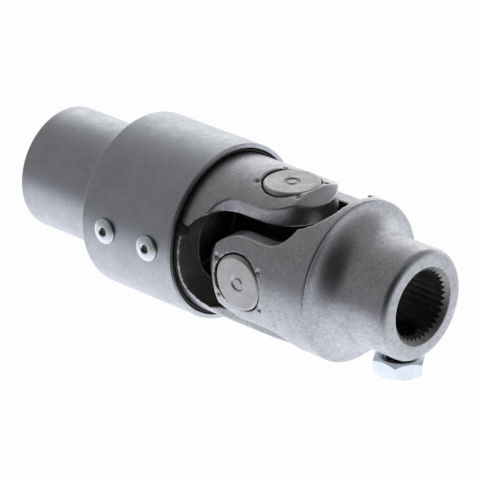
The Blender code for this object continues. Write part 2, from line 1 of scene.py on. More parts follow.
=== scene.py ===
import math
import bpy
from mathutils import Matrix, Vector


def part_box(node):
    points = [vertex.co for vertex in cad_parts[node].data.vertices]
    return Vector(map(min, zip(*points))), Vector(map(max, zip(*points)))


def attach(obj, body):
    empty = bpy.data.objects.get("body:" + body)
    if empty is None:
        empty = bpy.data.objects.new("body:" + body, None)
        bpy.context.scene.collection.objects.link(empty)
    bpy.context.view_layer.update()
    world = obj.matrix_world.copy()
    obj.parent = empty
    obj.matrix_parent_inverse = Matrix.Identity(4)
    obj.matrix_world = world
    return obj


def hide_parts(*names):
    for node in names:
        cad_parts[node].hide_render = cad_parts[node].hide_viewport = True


bl_info = {
    "name": "Steering Universal Joint",
    "version": (1, 0, 0),
    "blender": (4, 5, 0),
    "location": "3D View > Sidebar > Steering Joint",
    "description": "Builds the visible pieces of a steering universal joint with a rubber coupling",
    "category": "Add Mesh",
}

import bmesh
import bpy
from bpy.props import FloatProperty, FloatVectorProperty, IntProperty, PointerProperty
from mathutils import Matrix, Vector

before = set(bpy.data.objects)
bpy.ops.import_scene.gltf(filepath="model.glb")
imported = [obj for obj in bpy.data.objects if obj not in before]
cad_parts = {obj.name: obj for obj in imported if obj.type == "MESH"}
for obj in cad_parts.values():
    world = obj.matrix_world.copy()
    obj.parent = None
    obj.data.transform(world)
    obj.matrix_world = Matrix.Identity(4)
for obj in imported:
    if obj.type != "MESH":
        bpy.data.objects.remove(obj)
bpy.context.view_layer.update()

MM = 0.001
MATH = "ShaderNodeMath"
VECTOR = "ShaderNodeVectorMath"
GROUP = "GeometryNodeGroup"
EDGE = "edge"               # attribute: how far a point of a fork is from its nearest milled edge
SKIN_DEPTH = 0.12 * MM      # a face this near to a gap or bore counts as inside it
SAME_POINT = 1e-7           # points nearer than this are one
ARC_STEPS = 6               # faces in the arc at a turned edge
FLAT_RUN = 0.15             # a ring on the flat stands this share of an edge's radius past its arc
NOSE_ALONG = 0.640          # share of a step along the shaft that counts in the nose's cone
NOSE_OUT = 0.768            # share of a step out from the shaft that counts in it
DOG_HALF_ANGLE = math.radians(26)           # from a dog's middle to its flank, round the shaft
DOG_SLOT_HALF_ANGLE = math.radians(31)      # 5 degrees free each way
DOG_EDGE = 0.5 * MM         # rounding of the dogs
HOLLOW_EDGE = 1.0 * MM      # rounding round the floor of the spigot's hollow
INNER_EDGE = 0.8 * MM       # rounding where a counterbore or a spigot ends
CROSS_CELL = 0.3 * MM       # size of the cells that the cross is meshed from
SCREW_CELL = 0.15 * MM      # and the set screw
MANDREL_DEPTH = 0.55 * MM   # from a rivet's face down to its snapped mandrel
NUT_CORNER_ANGLE = math.radians(32)         # slope of the turned corners of the nut
TRUNNION_EDGE = 0.6 * MM    # rounding round a trunnion's end
SHOULDER_EDGE = 0.4 * MM    # rounding of the shoulder below a seal
SCREW_TAPER = 0.7 * MM      # bevel at both ends of the set screw
THREAD_EDGE = 0.1 * MM
SOCKET_EDGE = 0.15 * MM
SHELL_WALL = 1.5 * MM       # wall of the bush's shell
FLASH_GAP = 0.09 * MM       # between the fork's collar and the rubber's flash
FLASH_STEPS = 14            # cells along the flash, and across it

# The studio that the steel mirrors: heights and ways as shares of a step, places in metres
BEHIND = (-0.05, 0.6)       # the white wall fades in between these, from the side to the back
WALL_SLOPE = 0.4            # the wall's top falls by this much of a step for a step to the right
WALL_TOP = (0.1, 0.56)      # the wall is white below the first and ceiling above the second
PATCH = (math.cos(math.radians(74)), math.cos(math.radians(26)))    # where the dark patch starts and is full
HUB_FADE = (100 * MM, 260 * MM)     # the lit floor fades between these, along the shaft
FRONT_SHADE_WAY = (0.5, -0.86, 0.0)       # from the origin towards the camera's stand
FRONT_SHADE_REACH = (140 * MM, 215 * MM)  # the painted shade on the floor's glow begins and is full that way
PAPER = 0.965               # brightness that the camera sees on the floor in full shadow
PAPER_SHADE = (0.05, 0.05, 0.05, 1.0)       # colour that adds the rest where light falls
FLOOR_HALF = 1.5            # half the width of the floor

# What shows on bare steel, in metres
BLOTCH = 2 * MM             # blotches, where the cutting oil dried
CLOUD = 7 * MM              # clouds, from handling
CLOUD_SHARE = 0.8           # strength of both against the fine grain
LATHE_RINGS = (1 / (0.25 * MM), 25.0, 25.0)     # a feed of 0.25 mm along the shaft, almost even round it
RUBBED_HIGHLIGHT_START = 0.2 * MM     # edges are lightened towards white up to here: tumbled wear and a painted highlight
RUBBED_HIGHLIGHT_END = 0.45 * MM      # and plain from here
RUBBED_HIGHLIGHT_UNEVEN = 0.5 * MM    # how far the blotches shift both
DULLER = 0.06               # added to the roughness in the darkest clouds
GLOSSIER = 0.04             # taken from it in the lightest

# Places that the frame fixes, in metres
NECK_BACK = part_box("reducer_sleeve")[0].x
SLEEVE_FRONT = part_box("reducer_sleeve")[1].x
DISC_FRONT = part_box("reducer_hub")[1].x
HUB_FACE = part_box("hub_yoke")[1].x
JOINT = (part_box("cap_front")[0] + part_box("cap_front")[1]) / 2
JOINT = Vector((JOINT.x, 0, 0))
SHAFT = Vector((1, 0, 0))
TRUNNIONS = {
    "upper": Vector((0, 0, 1)),
    "lower": Vector((0, 0, -1)),
    "front": Vector((0, -1, 0)),
    "rear": Vector((0, 1, 0)),
}
CAP_BODIES = {"upper": "inner_yoke", "lower": "inner_yoke", "front": "hub_yoke", "rear": "hub_yoke"}


def length(name, description, default):
    """A size property: its default is given in millimetres and kept in metres."""
    return FloatProperty(name=name, description=description, default=default * MM,
                         min=-1.0, precision=5, unit="LENGTH")


def linear(code):
    """The linear colour of an sRGB hex value."""
    channels = [int(code[i:i + 2], 16) / 255 for i in (1, 3, 5)]
    return tuple(c / 12.92 if c <= 0.04045 else ((c + 0.055) / 1.055) ** 2.4 for c in channels) + (1.0,)


def colour(name, description, code):
    """A colour property, from an sRGB hex value."""
    return FloatVectorProperty(name=name, description=description, default=linear(code),
                               subtype="COLOR", size=4, min=0.0, max=1.0)


def share(name, description, default):
    """A property between nought and one."""
    return FloatProperty(name=name, description=description, default=default, min=0.0, max=1.0,
                         subtype="FACTOR")


class ForkSizes(bpy.types.PropertyGroup):
    yoke_radius: length("Yoke Radius", "Outside radius of both forks", 21.45)
    slot_half: length("Slot Half Width", "From the shaft line to the flat inside of an ear", 13.75)
    slot_depth: length("Slot Depth", "From the pin's centre to the floor between the ears", 20.35)
    slot_corner: length("Slot Corner", "Radius at the foot of each ear's inside", 9.7)
    ear_half: length("Ear Half Width", "Half the width of an ear, and the radius of its tip", 11.75)
    ear_fillet: length("Ear Fillet", "Radius where an ear's side runs into the body", 7.5)
    shoulder: length("Shoulder", "From the pin's centre back to where the body is full round", 14.5)
    nose_start: length("Nose Start", "From the pin's centre to where the turned nose begins", 8.15)
    cap_bore: length("Cap Bore Radius", "Radius of the hole for a bearing cap", 7.8)
    bore_edge: length("Bore Edge", "Rounding at the mouth of a cap's hole", 0.32)
    edge: length("Edge", "Rounding of the milled edges", 0.15)
    stake_along: length("Stake Along", "From a cap's centre to a stake mark, along the shaft", 7.1)
    stake_across: length("Stake Across", "From a cap's centre to a stake mark, across the shaft", 5.2)
    stake_size: length("Stake Size", "Radius of the punch that makes a stake mark", 0.75)
    stake_lip: length("Stake Lip", "Radius of the metal that a stake pushes up beside the cap", 0.5)
    voxel: length("Cell", "Size of the cells that the forks are meshed from", 0.35)


class ReducerSizes(bpy.types.PropertyGroup):
    neck_radius: length("Neck Radius", "Outside radius of the plain neck", 17.0)
    neck_chamfer: length("Neck Chamfer", "Chamfer at the neck's outer edge", 0.8)
    neck_bore: length("Neck Bore Radius", "Radius of the bore for the upper shaft", 12.7)
    bore_chamfer: length("Bore Chamfer", "Chamfer at the mouth of the bore", 0.9)
    bore_stop: length("Bore Stop", "From the bore's end to the back of the sleeve", 2.5)
    disc_radius: length("Disc Radius", "Radius of the disc inside the sleeve", 22.3)
    sleeve_bore: length("Sleeve Bore Radius", "Inside radius of the sleeve", 22.6)
    sleeve_radius: length("Sleeve Radius", "Outside radius of the sleeve", 23.9)
    sleeve_edge: length("Sleeve Edge", "Rounding of the sleeve's edges", 0.45)
    collar_back: length("Collar Back", "From the pin's centre back to the end of the full round", 23.5)
    spigot_radius: length("Spigot Radius", "Radius of the spigot inside the rubber", 17.2)
    spigot_end: length("Spigot End", "From the pin's centre back to the spigot's end", 38.85)
    hollow_radius: length("Hollow Radius", "Radius of the hollow in the spigot", 13.7)
    hollow_end: length("Hollow End", "From the pin's centre back to the hollow's floor", 33.85)
    dog_end: length("Dog End", "From the pin's centre back to the end of the dogs", 46.2)
    dog_middle: length("Dog Middle", "Radius to the middle of a dog", 12.25)
    dog_half: length("Dog Half Height", "Half the height of a dog", 3.25)
    dog_free: length("Dog Free Gap", "Gap round a dog in its slot", 0.6)
    rubber_recess: length("Rubber Recess", "From the sleeve's end in to the rubber lip", 0.4)
    flash_reach: length("Flash Reach", "From the sleeve's end to the end of the rubber's flash", 3.9)
    flash_thick: length("Flash Thickness", "Thickness of the rubber's flash", 0.6)
    flash_place: FloatProperty(name="Flash Place", description="Turn of the flash round the shaft",
                               default=math.radians(67.5), unit="ROTATION")
    flash_half: FloatProperty(name="Flash Half Angle", description="Half the angle that the flash spans",
                              default=math.radians(5.5), unit="ROTATION")
    rubber_gap: length("Rubber Gap", "Gap between the rubber and what it is bonded to", 0.2)


class HubSizes(bpy.types.PropertyGroup):
    ridge: length("Ridge", "From the pin's centre to the edge of the full round", 22.8)
    flare: length("Flare", "Radius of the turned flare", 7.5)
    neck_radius: length("Hub Radius", "Outside radius of the hub", 14.65)
    ridge_edge: length("Ridge Edge", "Rounding of the ridge", 0.3)
    face: length("Hub Face", "From the pin's centre to the hub's end face", 43.8)
    face_edge: length("Face Edge", "Rounding round the hub's end face", 1.7)
    counterbore_end: length("Counterbore End", "From the pin's centre to the counterbore's floor", 23.35)
    counterbore: length("Counterbore Radius", "Radius of the counterbore between the ears", 13.7)
    core: length("Core Radius", "Radius of the bore before it is broached", 8.3)
    mouth: length("Mouth Radius", "Radius of the chamfer at the bore's mouth", 10.4)
    tooth_root: length("Tooth Root", "Radius to the bottom of the serrations", 9.55)
    tooth_crest: length("Tooth Crest", "Radius to the crest of the serrations", 8.8)
    teeth: IntProperty(name="Teeth", description="Number of serrations", default=36, min=12, max=72)


class BearingSizes(bpy.types.PropertyGroup):
    cap_radius: length("Cap Radius", "Outside radius of a bearing cap", 7.5)
    cap_wall: length("Cap Wall", "Wall of a bearing cap", 0.95)
    cap_floor: length("Cap Floor", "Thickness of a cap's face", 1.4)
    cap_face: length("Cap Face", "From the joint's centre to a cap's face", 21.05)
    cap_rim: length("Cap Rim", "From the joint's centre to a cap's open end", 13.25)
    cap_edge: length("Cap Edge", "Rounding round a cap's face", 0.8)
    dimple: length("Dimple Radius", "Radius of the ring pressed in a cap's face", 2.25)
    dimple_depth: length("Dimple Depth", "Depth of the ring pressed in a cap's face", 0.38)
    needle_radius: length("Needle Radius", "Radius of one needle roller", 0.78)
    needle_ring: length("Needle Ring", "Radius of the ring that the needles stand on", 5.63)
    needle_bottom: length("Needle Bottom", "From the joint's centre to the needles' lower end", 13.75)
    needle_top: length("Needle Top", "From the joint's centre to the needles' upper end", 18.11)
    needles: IntProperty(name="Needles", description="Needles in each cap", default=22, min=8, max=40)
    seal_radius: length("Seal Radius", "Outside radius of a seal", 7.0)
    seal_bore: length("Seal Bore", "Inside radius of a seal", 4.83)
    seal_start: length("Seal Start", "From the joint's centre to a seal's lower end", 11.53)
    seal_top: length("Seal Top", "From the joint's centre to a seal's upper end", 13.13)
    trunnion: length("Trunnion Radius", "Radius of the cross's trunnions", 4.71)
    trunnion_end: length("Trunnion End", "From the joint's centre to a trunnion's end", 18.61)
    shoulder: length("Shoulder Radius", "Radius of the shoulder below a seal", 6.9)
    shoulder_end: length("Shoulder End", "From the joint's centre to a shoulder's face", 11.41)
    middle: length("Middle Radius", "Radius of the cross's round middle", 9.2)
    blend: length("Blend", "Forged radius between the cross's arms", 1.6)


class FastenerSizes(bpy.types.PropertyGroup):
    rivet_flange: length("Rivet Flange Radius", "Radius of a rivet's flange", 3.4)
    rivet_thick: length("Rivet Flange Height", "Height of a rivet's flange", 1.1)
    rivet_shank: length("Rivet Shank Radius", "Radius of a rivet's shank", 2.0)
    rivet_hole: length("Rivet Hole Radius", "Radius of the hole that the mandrel leaves", 1.15)
    rivet_seat: length("Rivet Seat", "From the shaft line to the underside of a flange", 24.02)
    rivet_grip: length("Rivet Grip", "Length of a rivet's shank", 5.4)
    rivet_first: length("First Rivet", "From the bore's mouth to the first pair of rivets", 40.5)
    rivet_pitch: length("Rivet Pitch", "From the first pair of rivets to the second", 15.5)
    rivet_angle: FloatProperty(name="Rivet Angle", description="Turn of the rivets round the shaft",
                               default=math.radians(86), unit="ROTATION")
    screw_place: length("Screw Place", "From the pin's centre to the set screw", 36.15)
    screw_radius: length("Screw Radius", "Radius over the set screw's thread", 3.95)
    screw_hole: length("Screw Hole Radius", "Radius of the tapped hole", 4.2)
    screw_start: length("Screw Start", "From the shaft line to the set screw's point", 9.67)
    screw_end: length("Screw End", "From the shaft line to the set screw's outer end", 21.65)
    screw_pitch: length("Screw Pitch", "Pitch of the set screw's thread", 1.41)
    screw_thread: length("Thread Depth", "Depth of the set screw's thread", 0.6)
    screw_socket: length("Socket Half Flats", "Half the width of the hexagon socket", 2.0)
    screw_socket_depth: length("Socket Depth", "Depth of the hexagon socket", 4.0)
    nut_top: length("Nut Seat", "From the shaft line to the jam nut's inner face", 15.65)
    nut_thick: length("Nut Thickness", "Thickness of the jam nut", 4.8)
    nut_half: length("Nut Half Flats", "Half the width across the nut's flats", 6.35)
    nut_edge: length("Nut Edge", "Width of the turned edge of the nut's faces", 0.5)
    nut_turn: FloatProperty(name="Nut Turn", description="Turn of the nut round its screw",
                            default=math.radians(30), unit="ROTATION")


class Finishes(bpy.types.PropertyGroup):
    turned_light: colour("Turned Light", "Bright grains of the turned steel", "#c2c5ca")
    turned_dark: colour("Turned Dark", "Dark grains of the turned steel", "#adb0b5")
    forged_light: colour("Forged Light", "Bright grains of the forged steel", "#d0d2d6")
    forged_dark: colour("Forged Dark", "Dark grains of the forged steel", "#a0a2a5")
    steel_roughness: share("Steel Roughness", "Roughness of the turned and forged steel", 0.36)
    cap_light: colour("Cap Light", "Bright grains of the bearing caps", "#d9d8d8")
    cap_dark: colour("Cap Dark", "Dark grains of the bearing caps", "#bdbcbb")
    zinc_light: colour("Zinc Light", "Bright part of the zinc plating", "#f6fcff")
    zinc_dark: colour("Zinc Dark", "Dull part of the zinc plating", "#e4f0f8")
    ground_light: colour("Ground Light", "Bright part of the ground needles", "#dfe1e4")
    ground_dark: colour("Ground Dark", "Dark part of the ground needles", "#b0b3b6")
    oxide_light: colour("Oxide Light", "Worn part of the black oxide", "#4a4a4c")
    oxide_dark: colour("Oxide Dark", "Full part of the black oxide", "#242426")
    # painted shade for the slots, bores and hollow of the forks
    bore_shade_light: colour("Bore Light", "Thin oil in the slots and bores", "#8c8783")
    bore_shade_dark: colour("Bore Dark", "Thick oil in the slots and bores", "#4e4a47")
    # painted shade inside the serrated bore
    broached_shade_light: colour("Broached Light", "Wiped part of the serrated bore", "#a8a8a8")
    broached_shade_dark: colour("Broached Dark", "Oily part of the serrated bore", "#706f6e")
    mandrel_light: colour("Mandrel Light", "Bare part of the snapped mandrel", "#7d7263")
    mandrel_dark: colour("Mandrel Dark", "Rusted part of the snapped mandrel", "#3a3129")
    rubber_light: colour("Rubber Light", "Dusty part of the rubber", "#2b2826")
    rubber_dark: colour("Rubber Dark", "Clean part of the rubber", "#121110")
    nylon_light: colour("Nylon Light", "Bright part of the nylon", "#e6e1d2")
    nylon_dark: colour("Nylon Dark", "Dull part of the nylon", "#cfc8b4")


class StageSettings(bpy.types.PropertyGroup):
    camera_place: FloatVectorProperty(name="Camera Place", description="Where the camera stands",
                                      default=(0.56452, -0.50683, 0.34513), subtype="TRANSLATION",
                                      unit="LENGTH")
    camera_turn: FloatVectorProperty(name="Camera Turn", description="How the camera is turned",
                                     default=tuple(math.radians(a) for a in (63.98375, 1.52539, 43.77716)),
                                     subtype="EULER", unit="ROTATION")
    lens: FloatProperty(name="Lens", description="Focal length", default=227.577, min=1.0,
                        subtype="DISTANCE_CAMERA", unit="CAMERA")
    floor: length("Floor Height", "Height of the floor below the shaft line", -45.0)
    pool_start: length("Pool Start", "Where the lit part of the floor begins, in front of the joint", -190.0)
    pool_end: length("Pool End", "Where the floor is fully lit", -10.0)
    dim: share("Dim Side", "Brightness of the studio on the camera's side", 0.3)
    dark: share("Dark Patch", "Brightness of the patch round the camera, against the dim side", 0.08)
    ceiling: share("Ceiling", "Brightness of the ceiling, against the white wall behind", 0.03)
    back: FloatProperty(name="Back", description="Brightness of the studio's back", default=1.4,
                        min=0.0, max=2.0)
    table: FloatProperty(name="Table", description="Brightness of the lit floor", default=1.3,
                         min=0.0, max=2.0)
    # painted shade on the floor's glow before the camera
    cloth: share("Cloth", "Brightness of the floor before the camera, against the dim side", 0.75)
    fade: share("Fade", "Brightness of the floor past the hub's end, against its brightest part", 0.65)
    white: colour("Background", "Colour of the backdrop", "#ffffff")
    cool: colour("Cool White", "Colour of the lit floor, as the steel mirrors it", "#f8f9ff")


class SteeringJointSettings(bpy.types.PropertyGroup):
    forks: PointerProperty(type=ForkSizes)
    reducer: PointerProperty(type=ReducerSizes)
    hub: PointerProperty(type=HubSizes)
    bearings: PointerProperty(type=BearingSizes)
    fasteners: PointerProperty(type=FastenerSizes)
    finishes: PointerProperty(type=Finishes)
    stage: PointerProperty(type=StageSettings)


def add(tree, kind, inputs=(), operation=None, **settings):
    """Add a node with its settings, and fill its inputs with values or with what feeds them."""
    node = tree.nodes.new(kind)
    if operation:
        node.operation = operation
    for name, value in settings.items():
        setattr(node, name, value)
    pairs = inputs.items() if isinstance(inputs, dict) else enumerate(inputs)
    for key, value in pairs:
        if isinstance(value, bpy.types.Node):
            value = next(socket for socket in value.outputs if socket.enabled)
        if isinstance(value, bpy.types.NodeSocket):
            tree.links.new(value, node.inputs[key])
        elif value is not None:
            node.inputs[key].default_value = value
    return node


SOCKET_KINDS = {
    float: "NodeSocketFloat",
    int: "NodeSocketInt",
    tuple: "NodeSocketVector",
}


def begin(name, given, results):
    """A Geometry Nodes tree with named inputs, and the output sockets of its input node."""
    tree = bpy.data.node_groups.new(name, "GeometryNodeTree")
    for label, value in given.items():
        socket = tree.interface.new_socket(label, in_out="INPUT", socket_type=SOCKET_KINDS[type(value)])
        socket.default_value = value
    for label, kind in results.items():
        tree.interface.new_socket(label, in_out="OUTPUT", socket_type=kind)
    return tree, add(tree, "NodeGroupInput").outputs


def sizes_of(*groups):
    """The named values of property groups, as a tree's inputs take them."""
    values = {}
    for group in groups:
        for key in type(group).__annotations__:
            value = getattr(group, key)
            if isinstance(value, (float, int)):
                values[type(group).bl_rna.properties[key].name] = value
    return values


def run_tree(tree, name, values):
    """Run a tree on an empty mesh, and keep the result as a plain mesh at the origin."""
    piece = bpy.data.objects.new(name, bpy.data.meshes.new(name))
    bpy.context.scene.collection.objects.link(piece)
    modifier = piece.modifiers.new("Shape", "NODES")
    modifier.node_group = tree
    for item in tree.interface.items_tree:
        if item.in_out == "INPUT" and item.name in values:
            modifier[item.identifier] = values[item.name]
    bpy.context.view_layer.update()
    evaluated = piece.evaluated_get(bpy.context.evaluated_depsgraph_get())
    mesh = bpy.data.meshes.new_from_object(evaluated)
    piece.modifiers.remove(modifier)
    piece.data = mesh
    mesh.name = name
    if not mesh.polygons:
        raise RuntimeError(f"the tree {tree.name} made no faces for {name}")
    smooth(piece)
    return piece


def smooth(piece, angle=50):
    """Shade a piece smooth, apart from edges sharper than an angle in degrees."""
    piece.data.shade_smooth()
    piece.data.set_sharp_from_angle(angle=math.radians(angle))


def rounded(corners):
    """Turn (along, radius, edge) corners into (along, radius) points with an arc at each edge."""
    points = []
    count = len(corners)
    for i, (along, radius, edge) in enumerate(corners):
        here = Vector((along, radius))
        if edge <= 0:
            points.append(here)
            continue
        back = (Vector(corners[i - 1][:2]) - here).normalized()
        ahead = (Vector(corners[(i + 1) % count][:2]) - here).normalized()
        half = back.angle(ahead) / 2
        reach = edge / math.tan(half)
        centre = here + (back + ahead).normalized() * edge / math.sin(half)
        first = (here + back * reach - centre).normalized()
        last = (here + ahead * reach - centre).normalized()
        points.append(here + back * (reach + edge * FLAT_RUN))
        for step in range(ARC_STEPS + 1):
            points.append(centre + first.slerp(last, step / ARC_STEPS) * edge)
        points.append(here + ahead * (reach + edge * FLAT_RUN))
    return points


def turned(name, corners, material, place, direction=SHAFT, segments=192, closed=True):
    """Revolve rounded corners round a line. An open profile starts and ends on the line."""
    points = rounded(corners)
    shape = bmesh.new()
    rings = []
    for along, radius in points:
        if radius < SAME_POINT:
            rings.append([shape.verts.new((0, 0, along))] * segments)
            continue
        ring = []
        for i in range(segments):
            angle = 2 * math.pi * i / segments
            ring.append(shape.verts.new((radius * math.cos(angle), radius * math.sin(angle), along)))
        rings.append(ring)
    pairs = list(zip(rings, rings[1:]))
    if closed:
        pairs.append((rings[-1], rings[0]))
    for low, high in pairs:
        for i in range(segments):
            j = (i + 1) % segments
            corner = []
            for vertex in (low[i], low[j], high[j], high[i]):
                if vertex not in corner:
                    corner.append(vertex)
            if len(corner) > 2:
                shape.faces.new(corner)
    turn = direction.to_track_quat("Z", "Y").to_matrix().to_4x4()
    bmesh.ops.transform(shape, matrix=Matrix.Translation(place) @ turn, verts=shape.verts)
    return keep(name, shape, material)


def keep(name, shape, material):
    """Make a scene object of a bmesh, its faces turned outwards."""
    bmesh.ops.remove_doubles(shape, verts=shape.verts, dist=SAME_POINT)
    bmesh.ops.recalc_face_normals(shape, faces=shape.faces)
    mesh = bpy.data.meshes.new(name)
    shape.to_mesh(mesh)
    shape.free()
    mesh.materials.append(material)
    piece = bpy.data.objects.new(name, mesh)
    bpy.context.scene.collection.objects.link(piece)
    smooth(piece, 30)
    return piece


def carve(piece, tool, operation="DIFFERENCE"):
    """Cut or crop a piece with a tool, which is used up."""
    step = piece.modifiers.new(tool.name, "BOOLEAN")
    step.operation = operation
    step.solver = "EXACT"
    step.object = tool
    bpy.context.view_layer.update()
    evaluated = piece.evaluated_get(bpy.context.evaluated_depsgraph_get())
    mesh = bpy.data.meshes.new_from_object(evaluated)
    piece.modifiers.remove(step)
    piece.data = mesh
    bpy.data.objects.remove(tool, do_unlink=True)
    smooth(piece, 30)


def ride(piece, body, *nodes):
    """Put a finished piece on its body in place of the CAD nodes that it stands for."""
    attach(piece, body)
    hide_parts(*nodes)
    return piece


def blank_material(name):
    """A new material. Its name is its own, because the operators look materials up by name."""
    if name in bpy.data.materials:
        raise RuntimeError(f"there is already a material named {name}")
    material = bpy.data.materials.new(name)
    material.use_nodes = True
    return material


def steel(name, light, dark, roughness, grain, relief, lines=0.0, wear_and_highlight=0.0, speckle=0.3):
    """A bare or plated metal: fine grain, blotches, broad clouds, lathe rings, and edges lightened as tumbled
    wear and a painted highlight.
    """
    material = blank_material(name)
    tree = material.node_tree
    shader = tree.nodes["Principled BSDF"]
    place = add(tree, "ShaderNodeTexCoord").outputs["Object"]
    stretch = add(tree, "ShaderNodeMapping", {"Vector": place, "Scale": LATHE_RINGS})
    patterns = []
    for where, scale, detail, rough in ((place, 1 / grain, 3.0, 0.6), (place, 1 / BLOTCH, 2.0, 0.5),
                                        (place, 1 / CLOUD, 2.0, 0.5), (stretch, 1.0, 2.0, 0.5)):
        noise = add(tree, "ShaderNodeTexNoise", {"Vector": where, "Scale": scale, "Detail": detail,
                                                 "Roughness": rough})
        patterns.append(noise.outputs[0])
    fine, blotches, broad, rings = patterns
    clouds = add(tree, MATH, [blotches, broad], "ADD")
    clouds = add(tree, MATH, [clouds, CLOUD_SHARE, fine], "MULTIPLY_ADD")
    mottle = add(tree, MATH, [fine, speckle, clouds], "MULTIPLY_ADD")
    # each noise lies round 0.5, which puts the sum's middle and its reach to either side here
    middle = 1.3 + 0.5 * speckle
    half_range = 0.5 + 0.2 * speckle
    tone = add(tree, "ShaderNodeMapRange", {"Value": mottle, "From Min": middle - half_range,
                                            "From Max": middle + half_range})
    streak = add(tree, MATH, [rings, lines, tone], "MULTIPLY_ADD")
    paint = add(tree, "ShaderNodeMix", {0: streak, 6: dark, 7: light}, data_type="RGBA").outputs[2]
    # milled edges lightened towards white: tumbled wear and a painted highlight
    if wear_and_highlight:
        edge = add(tree, "ShaderNodeAttribute", attribute_name=EDGE).outputs["Fac"]
        uneven = add(tree, MATH, [blotches, RUBBED_HIGHLIGHT_UNEVEN, edge], "MULTIPLY_ADD")
        rubbed_highlight = add(tree, "ShaderNodeMapRange", {"Value": uneven, "From Min": RUBBED_HIGHLIGHT_START,
                                                  "From Max": RUBBED_HIGHLIGHT_END, "To Min": wear_and_highlight, "To Max": 0.0})
        white = (1.0, 1.0, 1.0, 1.0)
        paint = add(tree, "ShaderNodeMix", {0: rubbed_highlight, 6: paint, 7: white}, data_type="RGBA").outputs[2]
    gloss = add(tree, "ShaderNodeMapRange", {"Value": clouds, "From Min": 1.0, "From Max": 1.6,
                                             "To Min": roughness + DULLER, "To Max": roughness - GLOSSIER})
    height = add(tree, MATH, [rings, lines, fine], "MULTIPLY_ADD")
    bump = add(tree, "ShaderNodeBump", {"Height": height, "Strength": 0.6, "Distance": relief})
    for key, value in (("Base Color", paint), ("Roughness", gloss.outputs[0]), ("Normal", bump.outputs[0])):
        tree.links.new(value, shader.inputs[key])
    shader.inputs["Metallic"].default_value = 1.0
    return material


def moulded(name, light, dark, roughness, grain, relief):
    """A moulded soft or hard plastic: faint cloudiness and a fine skin."""
    material = blank_material(name)
    tree = material.node_tree
    shader = tree.nodes["Principled BSDF"]
    place = add(tree, "ShaderNodeTexCoord").outputs["Object"]
    fine = add(tree, "ShaderNodeTexNoise", {"Vector": place, "Scale": 1 / grain, "Detail": 3.0})
    broad = add(tree, "ShaderNodeTexNoise", {"Vector": place, "Scale": 1 / (5 * MM), "Detail": 3.0})
    tone = add(tree, "ShaderNodeMapRange", {"Value": broad.outputs[0], "From Min": 0.35, "From Max": 0.65})
    paint = add(tree, "ShaderNodeMix", {0: tone, 6: dark, 7: light}, data_type="RGBA")
    bump = add(tree, "ShaderNodeBump", {"Height": fine.outputs[0], "Strength": 0.5, "Distance": relief})
    tree.links.new(paint.outputs[2], shader.inputs["Base Color"])
    tree.links.new(bump.outputs[0], shader.inputs["Normal"])
    shader.inputs["Roughness"].default_value = roughness
    shader.inputs["IOR"].default_value = 1.52
    return material


class STEERING_OT_finishes(bpy.types.Operator):
    """Make the materials and put them on the CAD nodes that stay"""
    bl_idname = "steering_joint.finishes"
    bl_label = "Finishes"

    def execute(self, context):
        look = context.scene.steering_joint.finishes
        # Turned mild steel, lightly oiled: a soft grey sheen, smooth and nearly even, with faint
        # rings from the lathe.
        steel("turned_steel", look.turned_light, look.turned_dark, look.steel_roughness, 0.7 * MM, 0.01 * MM,
              lines=0.2)
        # Forged steel, machined and tumbled: the same grey sheen with a mottle of 0.55 mm, and milled edges
        # lightened as tumbled wear and a painted highlight.
        steel("forged_steel", look.forged_light, look.forged_dark, look.steel_roughness, 0.55 * MM, 0.05 * MM,
              wear_and_highlight=0.85, speckle=2.2)
        # Drawn and case-hardened cup steel, left as tempered: warm grey and duller.
        steel("drawn_cap_steel", look.cap_light, look.cap_dark, 0.46, 0.5 * MM, 0.02 * MM)
        # Bright bluish zinc plating over steel: near white, with a soft haze.
        steel("blue_zinc_plating", look.zinc_light, look.zinc_dark, 0.34, 0.5 * MM, 0.01 * MM)
        # Ground and hardened bearing steel: bright and smooth.
        steel("ground_needle_steel", look.ground_light, look.ground_dark, 0.2, 0.3 * MM, 0.003 * MM)
        # Black oxide over steel: near black with a dull metal glint.
        steel("oxide_blacked_steel", look.oxide_light, look.oxide_dark, 0.55, 0.3 * MM, 0.01 * MM)
        # Slots, bores and the spigot's hollow as the cutter left them, darkened as a painted shade.
        steel("oiled_bore_steel", look.bore_shade_light, look.bore_shade_dark, 0.5, 0.6 * MM, 0.02 * MM)
        # Serrations as the broach left them, dark grey: a painted shade inside the bore.
        steel("broached_steel", look.broached_shade_light, look.broached_shade_dark, 0.42, 0.6 * MM, 0.02 * MM)
        # Snapped end of a rivet's mandrel: bare steel that has begun to rust.
        steel("rusted_mandrel_steel", look.mandrel_light, look.mandrel_dark, 0.55, 0.3 * MM, 0.03 * MM)
        # Moulded black rubber: dark, matt, faintly dusty.
        moulded("moulded_rubber", look.rubber_light, look.rubber_dark, 0.62, 0.25 * MM, 0.02 * MM)
        # Moulded natural nylon: cream, with a satin skin.
        moulded("moulded_nylon", look.nylon_light, look.nylon_dark, 0.42, 0.4 * MM, 0.008 * MM)
        for name in TRUNNIONS:
            dress(f"thrust_disc_{name}", "moulded_nylon")
        dress("bush_shell", "turned_steel")
        return {"FINISHED"}


def dress(node, material):
    """Give a CAD node that stays its material."""
    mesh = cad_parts[node].data
    mesh.materials.clear()
    mesh.materials.append(bpy.data.materials[material])


